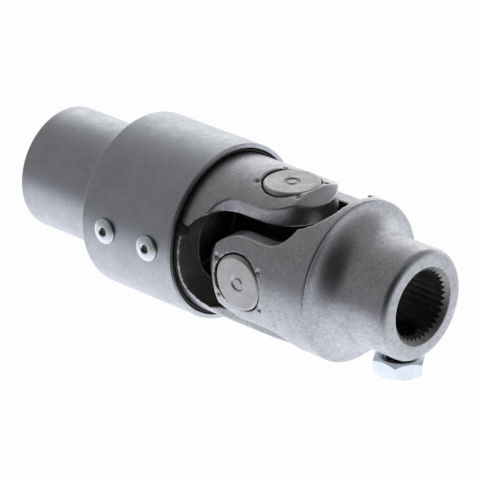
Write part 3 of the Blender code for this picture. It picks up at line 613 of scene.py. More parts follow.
class STEERING_OT_reducer(bpy.types.Operator):
    """Turn the reducer's hub, its sleeve and the rubber isolator"""
    bl_idname = "steering_joint.reducer"
    bl_label = "Reducer"

    def execute(self, context):
        sizes = context.scene.steering_joint.reducer
        forks = context.scene.steering_joint.forks
        metal = bpy.data.materials["turned_steel"]
        disc_chamfer = 0.6 * MM
        bore_end = NECK_BACK - sizes.bore_stop
        hub = turned("reducer_hub_turned", [
            (DISC_FRONT, 0, 0),
            (DISC_FRONT, sizes.disc_radius - disc_chamfer, 0),
            (DISC_FRONT - disc_chamfer, sizes.disc_radius, 0),
            (NECK_BACK + disc_chamfer, sizes.disc_radius, 0),
            (NECK_BACK, sizes.disc_radius - disc_chamfer, 0),
            (NECK_BACK, sizes.neck_radius, 0),
            (sizes.neck_chamfer, sizes.neck_radius, 0.25 * MM),
            (0, sizes.neck_radius - sizes.neck_chamfer, 0.2 * MM),
            (0, sizes.neck_bore + sizes.bore_chamfer, 0.2 * MM),
            (sizes.bore_chamfer, sizes.neck_bore, 0.2 * MM),
            (bore_end, sizes.neck_bore, 0.4 * MM),
            (bore_end, 0, 0),
        ], metal, Vector(), closed=False)
        for side in (0, math.pi):
            carve(hub, dog_cutter(sizes, side))
        ride(hub, "reducer", "reducer_hub")

        sleeve = turned("reducer_sleeve_turned", [
            (NECK_BACK, sizes.sleeve_bore, 0.15 * MM),
            (NECK_BACK, sizes.sleeve_radius, sizes.sleeve_edge),
            (SLEEVE_FRONT, sizes.sleeve_radius, sizes.sleeve_edge),
            (SLEEVE_FRONT, sizes.sleeve_bore, 0.25 * MM),
        ], metal, Vector())
        ride(sleeve, "reducer", "reducer_sleeve")

        rubber_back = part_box("rubber_isolator")[0].x
        shell_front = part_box("bush_shell")[1].x
        collar = JOINT.x - sizes.collar_back
        gap = sizes.rubber_gap
        shell_bore = sizes.disc_radius - SHELL_WALL
        rubber = turned("rubber_isolator_moulded", [
            (SLEEVE_FRONT - sizes.rubber_recess, sizes.sleeve_bore - gap, 0.2 * MM),
            (shell_front + gap, sizes.sleeve_bore - gap, 0),
            (shell_front + gap, shell_bore - gap, 0),
            (rubber_back, shell_bore - gap, 0.5 * MM),
            (rubber_back, sizes.spigot_radius + gap, 0.5 * MM),
            (collar - gap, sizes.spigot_radius + gap, 0),
            (collar - gap, forks.yoke_radius + gap, 0),
            (SLEEVE_FRONT - sizes.rubber_recess, forks.yoke_radius + gap, 0.2 * MM),
        ], bpy.data.materials["moulded_rubber"], Vector())
        add_flash(rubber, sizes, forks.yoke_radius + FLASH_GAP)
        ride(rubber, "reducer", "rubber_isolator")
        return {"FINISHED"}


def add_flash(rubber, sizes, radius):
    """Add the tab of rubber that squeezed out over the yoke's collar, a pad with thin edges."""
    shape = bmesh.new()
    shape.from_mesh(rubber.data)
    start = SLEEVE_FRONT - 1.2 * MM
    end = SLEEVE_FRONT + sizes.flash_reach
    skins = []
    for side in (0, 1):
        rows = []
        for i in range(FLASH_STEPS + 1):
            u = 2 * i / FLASH_STEPS - 1
            row = []
            for j in range(FLASH_STEPS + 1):
                v = 2 * j / FLASH_STEPS - 1
                # the far end is narrower by 36 % and its corners are round, and the edges are thin
                angle = sizes.flash_place + sizes.flash_half * v * (1 - 0.18 * (u + 1))
                along = start + (end - start) * (u + 1) / 2 * (1 - 0.2 * v ** 4)
                height = radius + side * sizes.flash_thick * (1 - u ** 6) * (1 - v ** 6)
                row.append(shape.verts.new((along, -height * math.sin(angle), height * math.cos(angle))))
            rows.append(row)
        skins.append(rows)
    for rows, turn in zip(skins, (1, -1)):
        for low, high in zip(rows, rows[1:]):
            for j in range(FLASH_STEPS):
                shape.faces.new([low[j], low[j + 1], high[j + 1], high[j]][::turn])
    bmesh.ops.remove_doubles(shape, verts=shape.verts, dist=SAME_POINT)
    shape.normal_update()
    shape.to_mesh(rubber.data)
    shape.free()
    smooth(rubber, 40)


def dog_cutter(sizes, side):
    """The curved slot in the disc that one dog stands in."""
    inner = sizes.dog_middle - sizes.dog_half - sizes.dog_free
    outer = sizes.dog_middle + sizes.dog_half + sizes.dog_free
    start = JOINT.x - sizes.dog_end - sizes.dog_free
    steps = 16
    shape = bmesh.new()
    outline = []
    for radius, sweep in ((outer, range(steps + 1)), (inner, range(steps, -1, -1))):
        for step in sweep:
            angle = side + DOG_SLOT_HALF_ANGLE * (2 * step / steps - 1)
            outline.append(shape.verts.new((start, radius * math.sin(angle), radius * math.cos(angle))))
    face = shape.faces.new(outline)
    grown = bmesh.ops.extrude_face_region(shape, geom=[face])
    raised = [item for item in grown["geom"] if isinstance(item, bmesh.types.BMVert)]
    bmesh.ops.translate(shape, verts=raised, vec=(DISC_FRONT - start + MM, 0, 0))
    return keep("dog_slot", shape, bpy.data.materials["turned_steel"])


def hypotenuse(tree, a, b):
    """The distance that two steps at right angles make."""
    steps = add(tree, "ShaderNodeCombineXYZ", [a, b])
    return add(tree, VECTOR, [steps], "LENGTH")


def meeting_group():
    """Node group: where two solids meet, with the edge between them rounded off."""
    name = "Rounded Meeting"
    if name in bpy.data.node_groups:
        return bpy.data.node_groups[name]
    tree, given = begin(name, {"A": 0.0, "B": 0.0, "Radius": 0.0}, {"Distance": "NodeSocketFloat"})
    past_a = add(tree, MATH, [given["A"], given["Radius"]], "ADD")
    past_b = add(tree, MATH, [given["B"], given["Radius"]], "ADD")
    out_a = add(tree, MATH, [past_a, 0.0], "MAXIMUM")
    out_b = add(tree, MATH, [past_b, 0.0], "MAXIMUM")
    outside = hypotenuse(tree, out_a, out_b)
    inside = add(tree, MATH, [given["A"], given["B"]], "MAXIMUM")
    limit = add(tree, MATH, [given["Radius"], -1.0], "MULTIPLY")
    capped = add(tree, MATH, [inside, limit], "MINIMUM")
    distance = add(tree, MATH, [capped, outside], "ADD")
    add(tree, "NodeGroupOutput", [distance])
    return tree


def joining_group():
    """Node group: two solids joined, with a fillet between them."""
    name = "Rounded Joining"
    if name in bpy.data.node_groups:
        return bpy.data.node_groups[name]
    tree, given = begin(name, {"A": 0.0, "B": 0.0, "Radius": 0.0}, {"Distance": "NodeSocketFloat"})
    a = add(tree, MATH, [given["A"], -1.0], "MULTIPLY")
    b = add(tree, MATH, [given["B"], -1.0], "MULTIPLY")
    met = add(tree, GROUP, [a, b, given["Radius"]], node_tree=meeting_group())
    distance = add(tree, MATH, [met, -1.0], "MULTIPLY")
    add(tree, "NodeGroupOutput", [distance])
    return tree


def skin_group():
    """Node group: the mesh on which a distance is nought, inside a box."""
    name = "Skin"
    if name in bpy.data.node_groups:
        return bpy.data.node_groups[name]
    tree, given = begin(name, {"Distance": 0.0, "Low": (0.0, 0.0, 0.0), "High": (1.0, 1.0, 1.0), "Cell": MM},
                        {"Mesh": "NodeSocketGeometry"})
    span = add(tree, VECTOR, [given["High"], given["Low"]], "SUBTRACT")
    cell = add(tree, "ShaderNodeCombineXYZ", [given["Cell"]] * 3)
    cells = add(tree, VECTOR, [span, cell], "DIVIDE")
    counts = add(tree, "ShaderNodeSeparateXYZ", [cells]).outputs
    density = add(tree, MATH, [given["Distance"], -1000.0, 0.5], "MULTIPLY_ADD")
    volume = add(tree, "GeometryNodeVolumeCube", {
        "Density": density, "Background": -1.0, "Min": given["Low"], "Max": given["High"],
        "Resolution X": counts[0], "Resolution Y": counts[1], "Resolution Z": counts[2]})
    skin = add(tree, "GeometryNodeVolumeToMesh", {"Volume": volume, "Threshold": 0.5})
    add(tree, "NodeGroupOutput", [skin])
    return tree


def fork_group(sizes):
    """Node group: a fork round its pin, and the distances that the rest of a yoke needs.

    Forward points from the yoke's body to its ears, and Pin along its pin.
    """
    name = "Fork"
    if name in bpy.data.node_groups:
        return bpy.data.node_groups[name]
    given = {"Forward": (1.0, 0.0, 0.0), "Pin": (0.0, 0.0, 1.0)}
    given.update(sizes_of(sizes))
    results = ["Fork", "Cuts", "Inside", "Edge", "Along", "Pin Side", "Across Side", "Radius"]
    tree, given = begin(name, given, {label: "NodeSocketFloat" for label in results})
    meeting = meeting_group()
    place = add(tree, "GeometryNodeInputPosition")
    from_joint = add(tree, VECTOR, [place, tuple(JOINT)], "SUBTRACT")
    along = add(tree, VECTOR, [from_joint, given["Forward"]], "DOT_PRODUCT")
    pin_line = add(tree, VECTOR, [from_joint, given["Pin"]], "DOT_PRODUCT")
    pin_side = add(tree, MATH, [pin_line], "ABSOLUTE")
    sideways = add(tree, VECTOR, [given["Pin"], (1.0, 0.0, 0.0)], "CROSS_PRODUCT")
    side_line = add(tree, VECTOR, [from_joint, sideways], "DOT_PRODUCT")
    across = add(tree, MATH, [side_line], "ABSOLUTE")
    radius = hypotenuse(tree, pin_side, across)

    ahead = add(tree, MATH, [along, 0.0], "MAXIMUM")
    boss_radius = hypotenuse(tree, ahead, across)
    boss = add(tree, MATH, [boss_radius, given["Ear Half Width"]], "SUBTRACT")
    body = add(tree, MATH, [along, given["Shoulder"]], "ADD")
    ears = add(tree, GROUP, [boss, body, given["Ear Fillet"]], node_tree=joining_group())

    inner = add(tree, MATH, [pin_side, given["Slot Half Width"]], "SUBTRACT")
    depth = add(tree, MATH, [given["Slot Depth"], along], "ADD")
    above = add(tree, MATH, [depth, -1.0], "MULTIPLY")
    gap = add(tree, GROUP, [inner, above, given["Slot Corner"]], node_tree=meeting)
    wall = add(tree, MATH, [gap, -1.0], "MULTIPLY")
    prongs = add(tree, GROUP, [ears, wall, given["Edge"]], node_tree=meeting)

    past_round = add(tree, MATH, [radius, given["Yoke Radius"]], "SUBTRACT")
    past_nose = add(tree, MATH, [along, given["Nose Start"]], "SUBTRACT")
    nose_part = add(tree, MATH, [past_nose, NOSE_ALONG], "MULTIPLY")
    nose = add(tree, MATH, [past_round, NOSE_OUT, nose_part], "MULTIPLY_ADD")
    fork = add(tree, GROUP, [prongs, nose, given["Edge"]], node_tree=meeting)

    pin_radius = hypotenuse(tree, along, across)
    bore = add(tree, MATH, [pin_radius, given["Cap Bore Radius"]], "SUBTRACT")
    along_size = add(tree, MATH, [along], "ABSOLUTE")
    here = add(tree, "ShaderNodeCombineXYZ", [along_size, across, radius])
    marks = []
    for nearer, size in ((1.0, "Stake Size"), (0.9, "Stake Lip")):
        flat_place = add(tree, "ShaderNodeCombineXYZ", [given["Stake Along"], given["Stake Across"]])
        mark_place = add(tree, VECTOR, {0: flat_place, "Scale": nearer}, "SCALE")
        raised = add(tree, "ShaderNodeCombineXYZ", [0.0, 0.0, given["Yoke Radius"]])
        mark_place = add(tree, VECTOR, [mark_place, raised], "ADD")
        mark_radius = add(tree, VECTOR, [here, mark_place], "DISTANCE")
        marks.append(add(tree, MATH, [mark_radius, given[size]], "SUBTRACT"))
    lipped = add(tree, MATH, [fork, marks[1]], "MINIMUM")
    cuts = add(tree, MATH, [bore, marks[0]], "MINIMUM")
    inside = add(tree, MATH, [gap, bore], "MINIMUM")

    # on the surface the greatest of the four distances is nought, and the next one is the edge's
    milled = [add(tree, MATH, [ears, wall], step) for step in ("MAXIMUM", "MINIMUM")]
    lathe = [add(tree, MATH, [past_round, nose], step) for step in ("MAXIMUM", "MINIMUM")]
    second = add(tree, MATH, [milled[0], lathe[0]], "MINIMUM")
    second = add(tree, MATH, [second, milled[1]], "MAXIMUM")
    second = add(tree, MATH, [second, lathe[1]], "MAXIMUM")
    edge = add(tree, MATH, [second], "ABSOLUTE")
    add(tree, "NodeGroupOutput", [lipped, cuts, inside, edge, along, pin_side, across, radius])
    return tree


def solid_tree(name, node, margin, *groups, **more):
    """A tree that meshes a solid in the box of a CAD node, its inputs, and the values it runs on."""
    low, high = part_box(node)
    margin = Vector((margin, margin, margin))
    values = {"Low": tuple(low - margin), "High": tuple(high + margin), **more, **sizes_of(*groups)}
    tree, given = begin(name, values, {"Geometry": "NodeSocketGeometry"})
    return tree, given, values


def end_tree(tree, shape, *coats):
    """Make a shape a tree's result, with materials that each go where a face is chosen."""
    shape = add(tree, "GeometryNodeRealizeInstances", [shape])
    for material, chosen in coats:
        shape = add(tree, "GeometryNodeSetMaterial", {"Geometry": shape, "Selection": chosen,
                                                      "Material": bpy.data.materials[material]})
    add(tree, "NodeGroupOutput", [shape])


def finish_fork(tree, shape, inside, edge, *coats):
    """End a yoke's tree: bright forged steel outside, and steel darkened as a painted shade in its gap and
    bores.
    """
    marked = add(tree, "GeometryNodeStoreNamedAttribute", {"Geometry": shape, "Name": EDGE, "Value": edge},
                 data_type="FLOAT", domain="POINT")
    # faces in the gap and bores take the painted shade
    chosen = add(tree, MATH, [inside, SKIN_DEPTH], "LESS_THAN")
    end_tree(tree, marked, ("forged_steel", None), ("oiled_bore_steel", chosen), *coats)


def place_fork(tree, given, forks, forward, pin):
    """Put the fork in a yoke's tree, and give its distances."""
    inputs = {"Forward": forward, "Pin": pin}
    inputs.update((label, given[label]) for label in sizes_of(forks))
    return add(tree, GROUP, inputs, node_tree=fork_group(forks)).outputs


def bar(tree, fork, size, reach, edge):
    """The distance to a round bar, or hole, that ends square at its reach behind the pin."""
    side = add(tree, MATH, [fork["Radius"], size], "SUBTRACT")
    behind = add(tree, MATH, [fork["Along"], reach], "ADD")
    end = add(tree, MATH, [behind, -1.0], "MULTIPLY")
    return add(tree, GROUP, [side, end, edge], node_tree=meeting_group())


def cut_away(tree, solid, hole, edge):
    """The distance to what is left of a solid round a hole, with the edge between them rounded."""
    wall = add(tree, MATH, [hole, -1.0], "MULTIPLY")
    return add(tree, GROUP, [solid, wall, edge], node_tree=meeting_group())


def with_twin(tree, shape):
    """A shape and its twin, turned half round the shaft line."""
    twin = add(tree, "GeometryNodeTransform", {"Geometry": shape, "Rotation": (math.radians(180), 0.0, 0.0)})
    both = add(tree, "GeometryNodeJoinGeometry", [shape])
    tree.links.new(twin.outputs[0], both.inputs[0])
    return both


class STEERING_OT_reducer_yoke(bpy.types.Operator):
    """Make the reducer's fork with its collar, hollow spigot and dogs"""
    bl_idname = "steering_joint.reducer_yoke"
    bl_label = "Reducer Yoke"

    def execute(self, context):
        settings = context.scene.steering_joint
        tree, given, values = solid_tree("Reducer Yoke", "reducer_yoke", MM, settings.reducer, settings.forks)
        meeting = meeting_group()
        fork = place_fork(tree, given, settings.forks, (1.0, 0.0, 0.0), (0.0, 0.0, 1.0))
        along = fork["Along"]
        collar = bar(tree, fork, given["Yoke Radius"], given["Collar Back"], given["Edge"])
        spigot = bar(tree, fork, given["Spigot Radius"], given["Spigot End"], INNER_EDGE)
        hollow = bar(tree, fork, given["Hollow Radius"], given["Hollow End"], HOLLOW_EDGE)
        blank = add(tree, GROUP, [collar, spigot, given["Edge"]], node_tree=joining_group())
        hollowed = cut_away(tree, blank, hollow, given["Edge"])
        forked = add(tree, GROUP, [hollowed, fork["Fork"], given["Edge"]], node_tree=meeting)
        bored = cut_away(tree, forked, fork["Cuts"], given["Bore Edge"])

        # the two dogs
        from_middle = add(tree, MATH, [fork["Radius"], given["Dog Middle"]], "SUBTRACT")
        off_middle = add(tree, MATH, [from_middle], "ABSOLUTE")
        height = add(tree, MATH, [off_middle, given["Dog Half Height"]], "SUBTRACT")
        past_pin = add(tree, MATH, [fork["Pin Side"], -math.sin(DOG_HALF_ANGLE)], "MULTIPLY")
        flank = add(tree, MATH, [fork["Across Side"], math.cos(DOG_HALF_ANGLE), past_pin], "MULTIPLY_ADD")
        section = add(tree, GROUP, [height, flank, DOG_EDGE], node_tree=meeting)
        reach = add(tree, MATH, [along, given["Dog End"]], "ADD")
        dog_end = add(tree, MATH, [reach, -1.0], "MULTIPLY")
        past_spigot = add(tree, MATH, [along, given["Spigot End"]], "ADD")
        root = add(tree, MATH, [past_spigot, MM], "SUBTRACT")
        dog_length = add(tree, MATH, [dog_end, root], "MAXIMUM")
        dog = add(tree, GROUP, [section, dog_length, DOG_EDGE], node_tree=meeting)

        whole = add(tree, MATH, [bored, dog], "MINIMUM")
        skin = add(tree, GROUP, [whole, given["Low"], given["High"], given["Cell"]], node_tree=skin_group())
        # the slot, the cap bores and the spigot's hollow take the painted shade
        inside = add(tree, MATH, [fork["Inside"], hollow], "MINIMUM")
        finish_fork(tree, skin, inside, fork["Edge"])
        ride(run_tree(tree, "reducer_yoke_machined", values), "inner_yoke", "reducer_yoke")
        return {"FINISHED"}


class STEERING_OT_hub_yoke(bpy.types.Operator):
    """Make the hub's fork with its flare, serrated bore and tapped hole"""
    bl_idname = "steering_joint.hub_yoke"
    bl_label = "Hub Yoke"

    def execute(self, context):
        settings = context.scene.steering_joint
        tree, given, values = solid_tree("Hub Yoke", "hub_yoke", MM, settings.hub, settings.forks,
                                         settings.fasteners)
        meeting = meeting_group()
        fork = place_fork(tree, given, settings.forks, (-1.0, 0.0, 0.0), (0.0, 1.0, 0.0))
        along = fork["Along"]
        radius = fork["Radius"]

        hub_round = add(tree, MATH, [radius, given["Hub Radius"]], "SUBTRACT")
        ridge_reach = add(tree, MATH, [along, given["Ridge"]], "ADD")
        ridge = add(tree, MATH, [ridge_reach, -1.0], "MULTIPLY")
        flared = add(tree, GROUP, [hub_round, ridge, given["Flare"]], node_tree=joining_group())
        outside = add(tree, MATH, [radius, given["Yoke Radius"]], "SUBTRACT")
        blank = add(tree, GROUP, [flared, outside, given["Ridge Edge"]], node_tree=meeting)
        ridge_edge = add(tree, MATH, [flared, outside], "MINIMUM")
        ridge_edge = add(tree, MATH, [ridge_edge], "ABSOLUTE")
        edge = add(tree, MATH, [fork["Edge"], ridge_edge], "MINIMUM")
        face_reach = add(tree, MATH, [along, given["Hub Face"]], "ADD")
        face = add(tree, MATH, [face_reach, -1.0], "MULTIPLY")
        faced = add(tree, GROUP, [blank, face, given["Face Edge"]], node_tree=meeting)

        pocket = bar(tree, fork, given["Counterbore Radius"], given["Counterbore End"], INNER_EDGE)
        core = add(tree, MATH, [radius, given["Core Radius"]], "SUBTRACT")
        mouth_round = add(tree, MATH, [radius, given["Mouth Radius"]], "SUBTRACT")
        mouth_sum = add(tree, MATH, [mouth_round, face_reach], "ADD")
        mouth = add(tree, MATH, [mouth_sum, math.sqrt(0.5)], "MULTIPLY")
        holes = add(tree, MATH, [pocket, core], "MINIMUM")
        holes = add(tree, MATH, [holes, mouth], "MINIMUM")
        hollowed = cut_away(tree, faced, holes, given["Edge"])
        forked = add(tree, GROUP, [hollowed, fork["Fork"], given["Edge"]], node_tree=meeting)

        place = add(tree, "ShaderNodeSeparateXYZ", [add(tree, "GeometryNodeInputPosition")]).outputs
        past_screw = add(tree, MATH, [face_reach, given["Hub Face"]], "SUBTRACT")
        to_screw = add(tree, MATH, [past_screw, given["Screw Place"]], "ADD")
        screw_radius = hypotenuse(tree, to_screw, place[1])
        tapped = add(tree, MATH, [screw_radius, given["Screw Hole Radius"]], "SUBTRACT")
        hole = add(tree, MATH, [tapped, place[2]], "MAXIMUM")
        cuts = add(tree, MATH, [fork["Cuts"], hole], "MINIMUM")
        whole = cut_away(tree, forked, cuts, given["Bore Edge"])
        skin = add(tree, GROUP, [whole, given["Low"], given["High"], given["Cell"]], node_tree=skin_group())

        # Serrations: a rod with two corners to a tooth, one at the root and one at the crest
        corners = add(tree, MATH, [given["Teeth"], 2.0], "MULTIPLY")
        rod_length = 60 * MM
        rod = add(tree, "GeometryNodeMeshCylinder", {"Vertices": corners, "Radius": given["Tooth Root"],
                                                     "Depth": rod_length})
        order = add(tree, MATH, [add(tree, "GeometryNodeInputIndex"), 2.0], "MODULO")
        at_root = add(tree, MATH, [order, 0.5], "LESS_THAN")
        ratio = add(tree, MATH, [given["Tooth Crest"], given["Tooth Root"]], "DIVIDE")
        rise = add(tree, MATH, [1.0, ratio], "SUBTRACT")
        reach = add(tree, MATH, [at_root, rise, ratio], "MULTIPLY_ADD")
        spread = add(tree, "ShaderNodeCombineXYZ", [reach, reach, 1.0])
        moved = add(tree, VECTOR, [add(tree, "GeometryNodeInputPosition"), spread], "MULTIPLY")
        star = add(tree, "GeometryNodeSetPosition", {"Geometry": rod, "Position": moved})
        broach = add(tree, "GeometryNodeTransform", {
            "Geometry": star, "Translation": (HUB_FACE + 5 * MM, 0.0, 0.0),
            "Rotation": (0.0, math.radians(90), 0.0)})
        cut = add(tree, "GeometryNodeMeshBoolean", {"Mesh 1": skin, "Mesh 2": broach},
                  operation="DIFFERENCE", solver="MANIFOLD")
        # the slot, the cap bores and the counterbore take the painted shade, and the serrated bore its own
        inside = add(tree, MATH, [fork["Inside"], pocket], "MINIMUM")
        in_bore = add(tree, MATH, [radius, given["Mouth Radius"]], "LESS_THAN")
        past_pocket = add(tree, MATH, [pocket, SKIN_DEPTH], "GREATER_THAN")
        in_bore = add(tree, MATH, [in_bore, past_pocket], "MULTIPLY")
        finish_fork(tree, cut, inside, edge, ("broached_steel", in_bore))
        ride(run_tree(tree, "hub_yoke_machined", values), "hub_yoke", "hub_yoke")
        return {"FINISHED"}


class STEERING_OT_cross(bpy.types.Operator):
    """Make the cross that joins the two forks"""
    bl_idname = "steering_joint.cross"
    bl_label = "Cross"

    def execute(self, context):
        bearings = context.scene.steering_joint.bearings
        tree, given, values = solid_tree("Cross", "cross", MM, bearings, Cell=CROSS_CELL)
        meeting = meeting_group()
        place = add(tree, "GeometryNodeInputPosition")
        from_joint = add(tree, VECTOR, [place, tuple(JOINT)], "SUBTRACT")
        from_middle = add(tree, VECTOR, [from_joint], "LENGTH")
        middle = add(tree, MATH, [from_middle, given["Middle Radius"]], "SUBTRACT")
        pins = []
        body = middle
        for line in ((0.0, 0.0, 1.0), (0.0, 1.0, 0.0)):
            height_line = add(tree, VECTOR, [from_joint, line], "DOT_PRODUCT")
            height = add(tree, MATH, [height_line], "ABSOLUTE")
            kept = tuple(1.0 - value for value in line)
            flat = add(tree, VECTOR, [from_joint, kept], "MULTIPLY")
            radius = add(tree, VECTOR, [flat], "LENGTH")
            pin_round = add(tree, MATH, [radius, given["Trunnion Radius"]], "SUBTRACT")
            pin_end = add(tree, MATH, [height, given["Trunnion End"]], "SUBTRACT")
            pins.append(add(tree, GROUP, [pin_round, pin_end, TRUNNION_EDGE], node_tree=meeting))
            shoulder_round = add(tree, MATH, [radius, given["Shoulder Radius"]], "SUBTRACT")
            shoulder_end = add(tree, MATH, [height, given["Shoulder End"]], "SUBTRACT")
            shoulder = add(tree, GROUP, [shoulder_round, shoulder_end, SHOULDER_EDGE], node_tree=meeting)
            body = add(tree, GROUP, [body, shoulder, given["Blend"]], node_tree=joining_group())
        arms = add(tree, MATH, pins, "MINIMUM")
        whole = add(tree, MATH, [body, arms], "MINIMUM")
        skin = add(tree, GROUP, [whole, given["Low"], given["High"], given["Cell"]], node_tree=skin_group())
        end_tree(tree, skin, ("oxide_blacked_steel", None))
        ride(run_tree(tree, "cross_forged", values), "cross", "cross")
        return {"FINISHED"}


class STEERING_OT_bearings(bpy.types.Operator):
    """Make the four bearing caps, their needles and their seals"""
    bl_idname = "steering_joint.bearings"
    bl_label = "Bearings"

    def execute(self, context):
        sizes = context.scene.steering_joint.bearings
        face = sizes.cap_face
        inside = face - sizes.cap_floor
        bore = sizes.cap_radius - sizes.cap_wall
        for name, direction in TRUNNIONS.items():
            cap = turned(f"cap_{name}_drawn", [
                (face - sizes.dimple_depth * 0.3, 0, 0),
                (face - sizes.dimple_depth * 0.3, sizes.dimple * 0.5, 0.2 * MM),
                (face - sizes.dimple_depth, sizes.dimple * 0.6, 0.1 * MM),
                (face - sizes.dimple_depth, sizes.dimple * 0.82, 0.1 * MM),
                (face, sizes.dimple, 0.1 * MM),
                (face, sizes.cap_radius, sizes.cap_edge),
                (sizes.cap_rim, sizes.cap_radius, 0.25 * MM),
                (sizes.cap_rim, bore, 0.2 * MM),
                (inside, bore, 0.3 * MM),
                (inside, 0, 0),
            ], bpy.data.materials["drawn_cap_steel"], JOINT, direction, closed=False)
            ride(cap, CAP_BODIES[name], f"cap_{name}")
            seal = turned(f"seal_{name}_moulded", [
                (sizes.seal_top, sizes.seal_bore, 0.15 * MM),
                (sizes.seal_top, sizes.seal_radius, 0.3 * MM),
                (sizes.seal_start + 0.5 * MM, sizes.seal_radius, 0.3 * MM),
                (sizes.seal_start, sizes.seal_radius - 0.5 * MM, 0.2 * MM),
                (sizes.seal_start, sizes.seal_bore, 0.15 * MM),
            ], bpy.data.materials["moulded_rubber"], JOINT, direction, 128)
            ride(seal, "cross", f"seal_{name}")

        values = {"Pin Turn": (0.0, 0.0, 0.0)}
        values.update(sizes_of(sizes))
        tree, given = begin("Needle Rollers", values, {"Geometry": "NodeSocketGeometry"})
        span = add(tree, MATH, [given["Needle Top"], given["Needle Bottom"]], "SUBTRACT")
        total = add(tree, MATH, [given["Needle Top"], given["Needle Bottom"]], "ADD")
        middle = add(tree, MATH, [total, 0.5], "MULTIPLY")
        raised = add(tree, "ShaderNodeCombineXYZ", [0.0, 0.0, middle])
        needle = add(tree, "GeometryNodeMeshCylinder", {"Vertices": 12, "Radius": given["Needle Radius"],
                                                        "Depth": span})
        ring = add(tree, "GeometryNodeMeshCircle", {"Vertices": given["Needles"],
                                                    "Radius": given["Needle Ring"]})
        standing = add(tree, "GeometryNodeInstanceOnPoints", {"Points": ring,
                                                              "Instance": needle.outputs["Mesh"]})
        upper = add(tree, "GeometryNodeTransform", {"Geometry": standing, "Translation": raised})
        both = with_twin(tree, upper)
        placed = add(tree, "GeometryNodeTransform", {"Geometry": both, "Translation": tuple(JOINT),
                                                     "Rotation": given["Pin Turn"]})
        end_tree(tree, placed, ("ground_needle_steel", None))
        for body, turn, names in (("inner_yoke", 0.0, ("upper", "lower")),
                                  ("hub_yoke", math.radians(90), ("front", "rear"))):
            values["Pin Turn"] = (turn, 0.0, 0.0)
            needles = run_tree(tree, f"needles_{body}", values)
            ride(needles, body, *(f"needles_{name}" for name in names))
        return {"FINISHED"}


class STEERING_OT_rivets(bpy.types.Operator):
    """Set the four blind rivets in the sleeve"""
    bl_idname = "steering_joint.rivets"
    bl_label = "Rivets"

    def execute(self, context):
        sizes = context.scene.steering_joint.fasteners
        top = sizes.rivet_thick
        floor = top - MANDREL_DEPTH
        master = turned("rivet_master", [
            (floor, 0, 0),
            (floor, sizes.rivet_hole, 0),
            (top - 0.25 * MM, sizes.rivet_hole, 0.1 * MM),
            (top, sizes.rivet_hole + 0.25 * MM, 0.2 * MM),
            (top - 0.12 * MM, sizes.rivet_flange - top, 0.5 * MM),
            (0.6 * MM, sizes.rivet_flange, 0.25 * MM),
            (0, sizes.rivet_flange, 0.1 * MM),
            (0, sizes.rivet_shank, 0),
            (-sizes.rivet_grip, sizes.rivet_shank, 0.5 * MM),
            (-sizes.rivet_grip, 0, 0),
        ], bpy.data.materials["blue_zinc_plating"], Vector(), Vector((0, 0, 1)), 64, closed=False)
        mandrel = master.data.attributes.new("mandrel", "BOOLEAN", "FACE")
        for face in master.data.polygons:
            on_floor = abs(face.center.z - floor) < 0.05 * MM
            mandrel.data[face.index].value = on_floor and face.center.xy.length < sizes.rivet_hole

        values = {"Rivet": master}
        values.update(sizes_of(sizes))
        tree = bpy.data.node_groups.new("Rivets", "GeometryNodeTree")
        tree.interface.new_socket("Rivet", in_out="INPUT", socket_type="NodeSocketObject")
        for label in ("Rivet Seat", "First Rivet", "Rivet Pitch", "Rivet Angle"):
            tree.interface.new_socket(label, in_out="INPUT", socket_type="NodeSocketFloat")
        tree.interface.new_socket("Geometry", in_out="OUTPUT", socket_type="NodeSocketGeometry")
        given = add(tree, "NodeGroupInput").outputs
        start = add(tree, "ShaderNodeCombineXYZ", [given["First Rivet"], 0.0, given["Rivet Seat"]])
        step = add(tree, "ShaderNodeCombineXYZ", [given["Rivet Pitch"]])
        row = add(tree, "GeometryNodeMeshLine", {"Count": 2, "Start Location": start, "Offset": step})
        rivet = add(tree, "GeometryNodeObjectInfo", {"Object": given["Rivet"]})
        set_rivets = add(tree, "GeometryNodeInstanceOnPoints", {"Points": row,
                                                                "Instance": rivet.outputs["Geometry"]})
        turn = add(tree, "ShaderNodeCombineXYZ", [given["Rivet Angle"]])
        front = add(tree, "GeometryNodeTransform", {"Geometry": set_rivets, "Rotation": turn})
        stub = add(tree, "GeometryNodeInputNamedAttribute", {"Name": "mandrel"}, data_type="BOOLEAN")
        end_tree(tree, with_twin(tree, front), ("blue_zinc_plating", None), ("rusted_mandrel_steel", stub))
        rivets = run_tree(tree, "rivets_set", values)
        bpy.data.objects.remove(master, do_unlink=True)
        ride(rivets, "reducer", "rivet_front_1", "rivet_front_2", "rivet_rear_1", "rivet_rear_2")
        return {"FINISHED"}


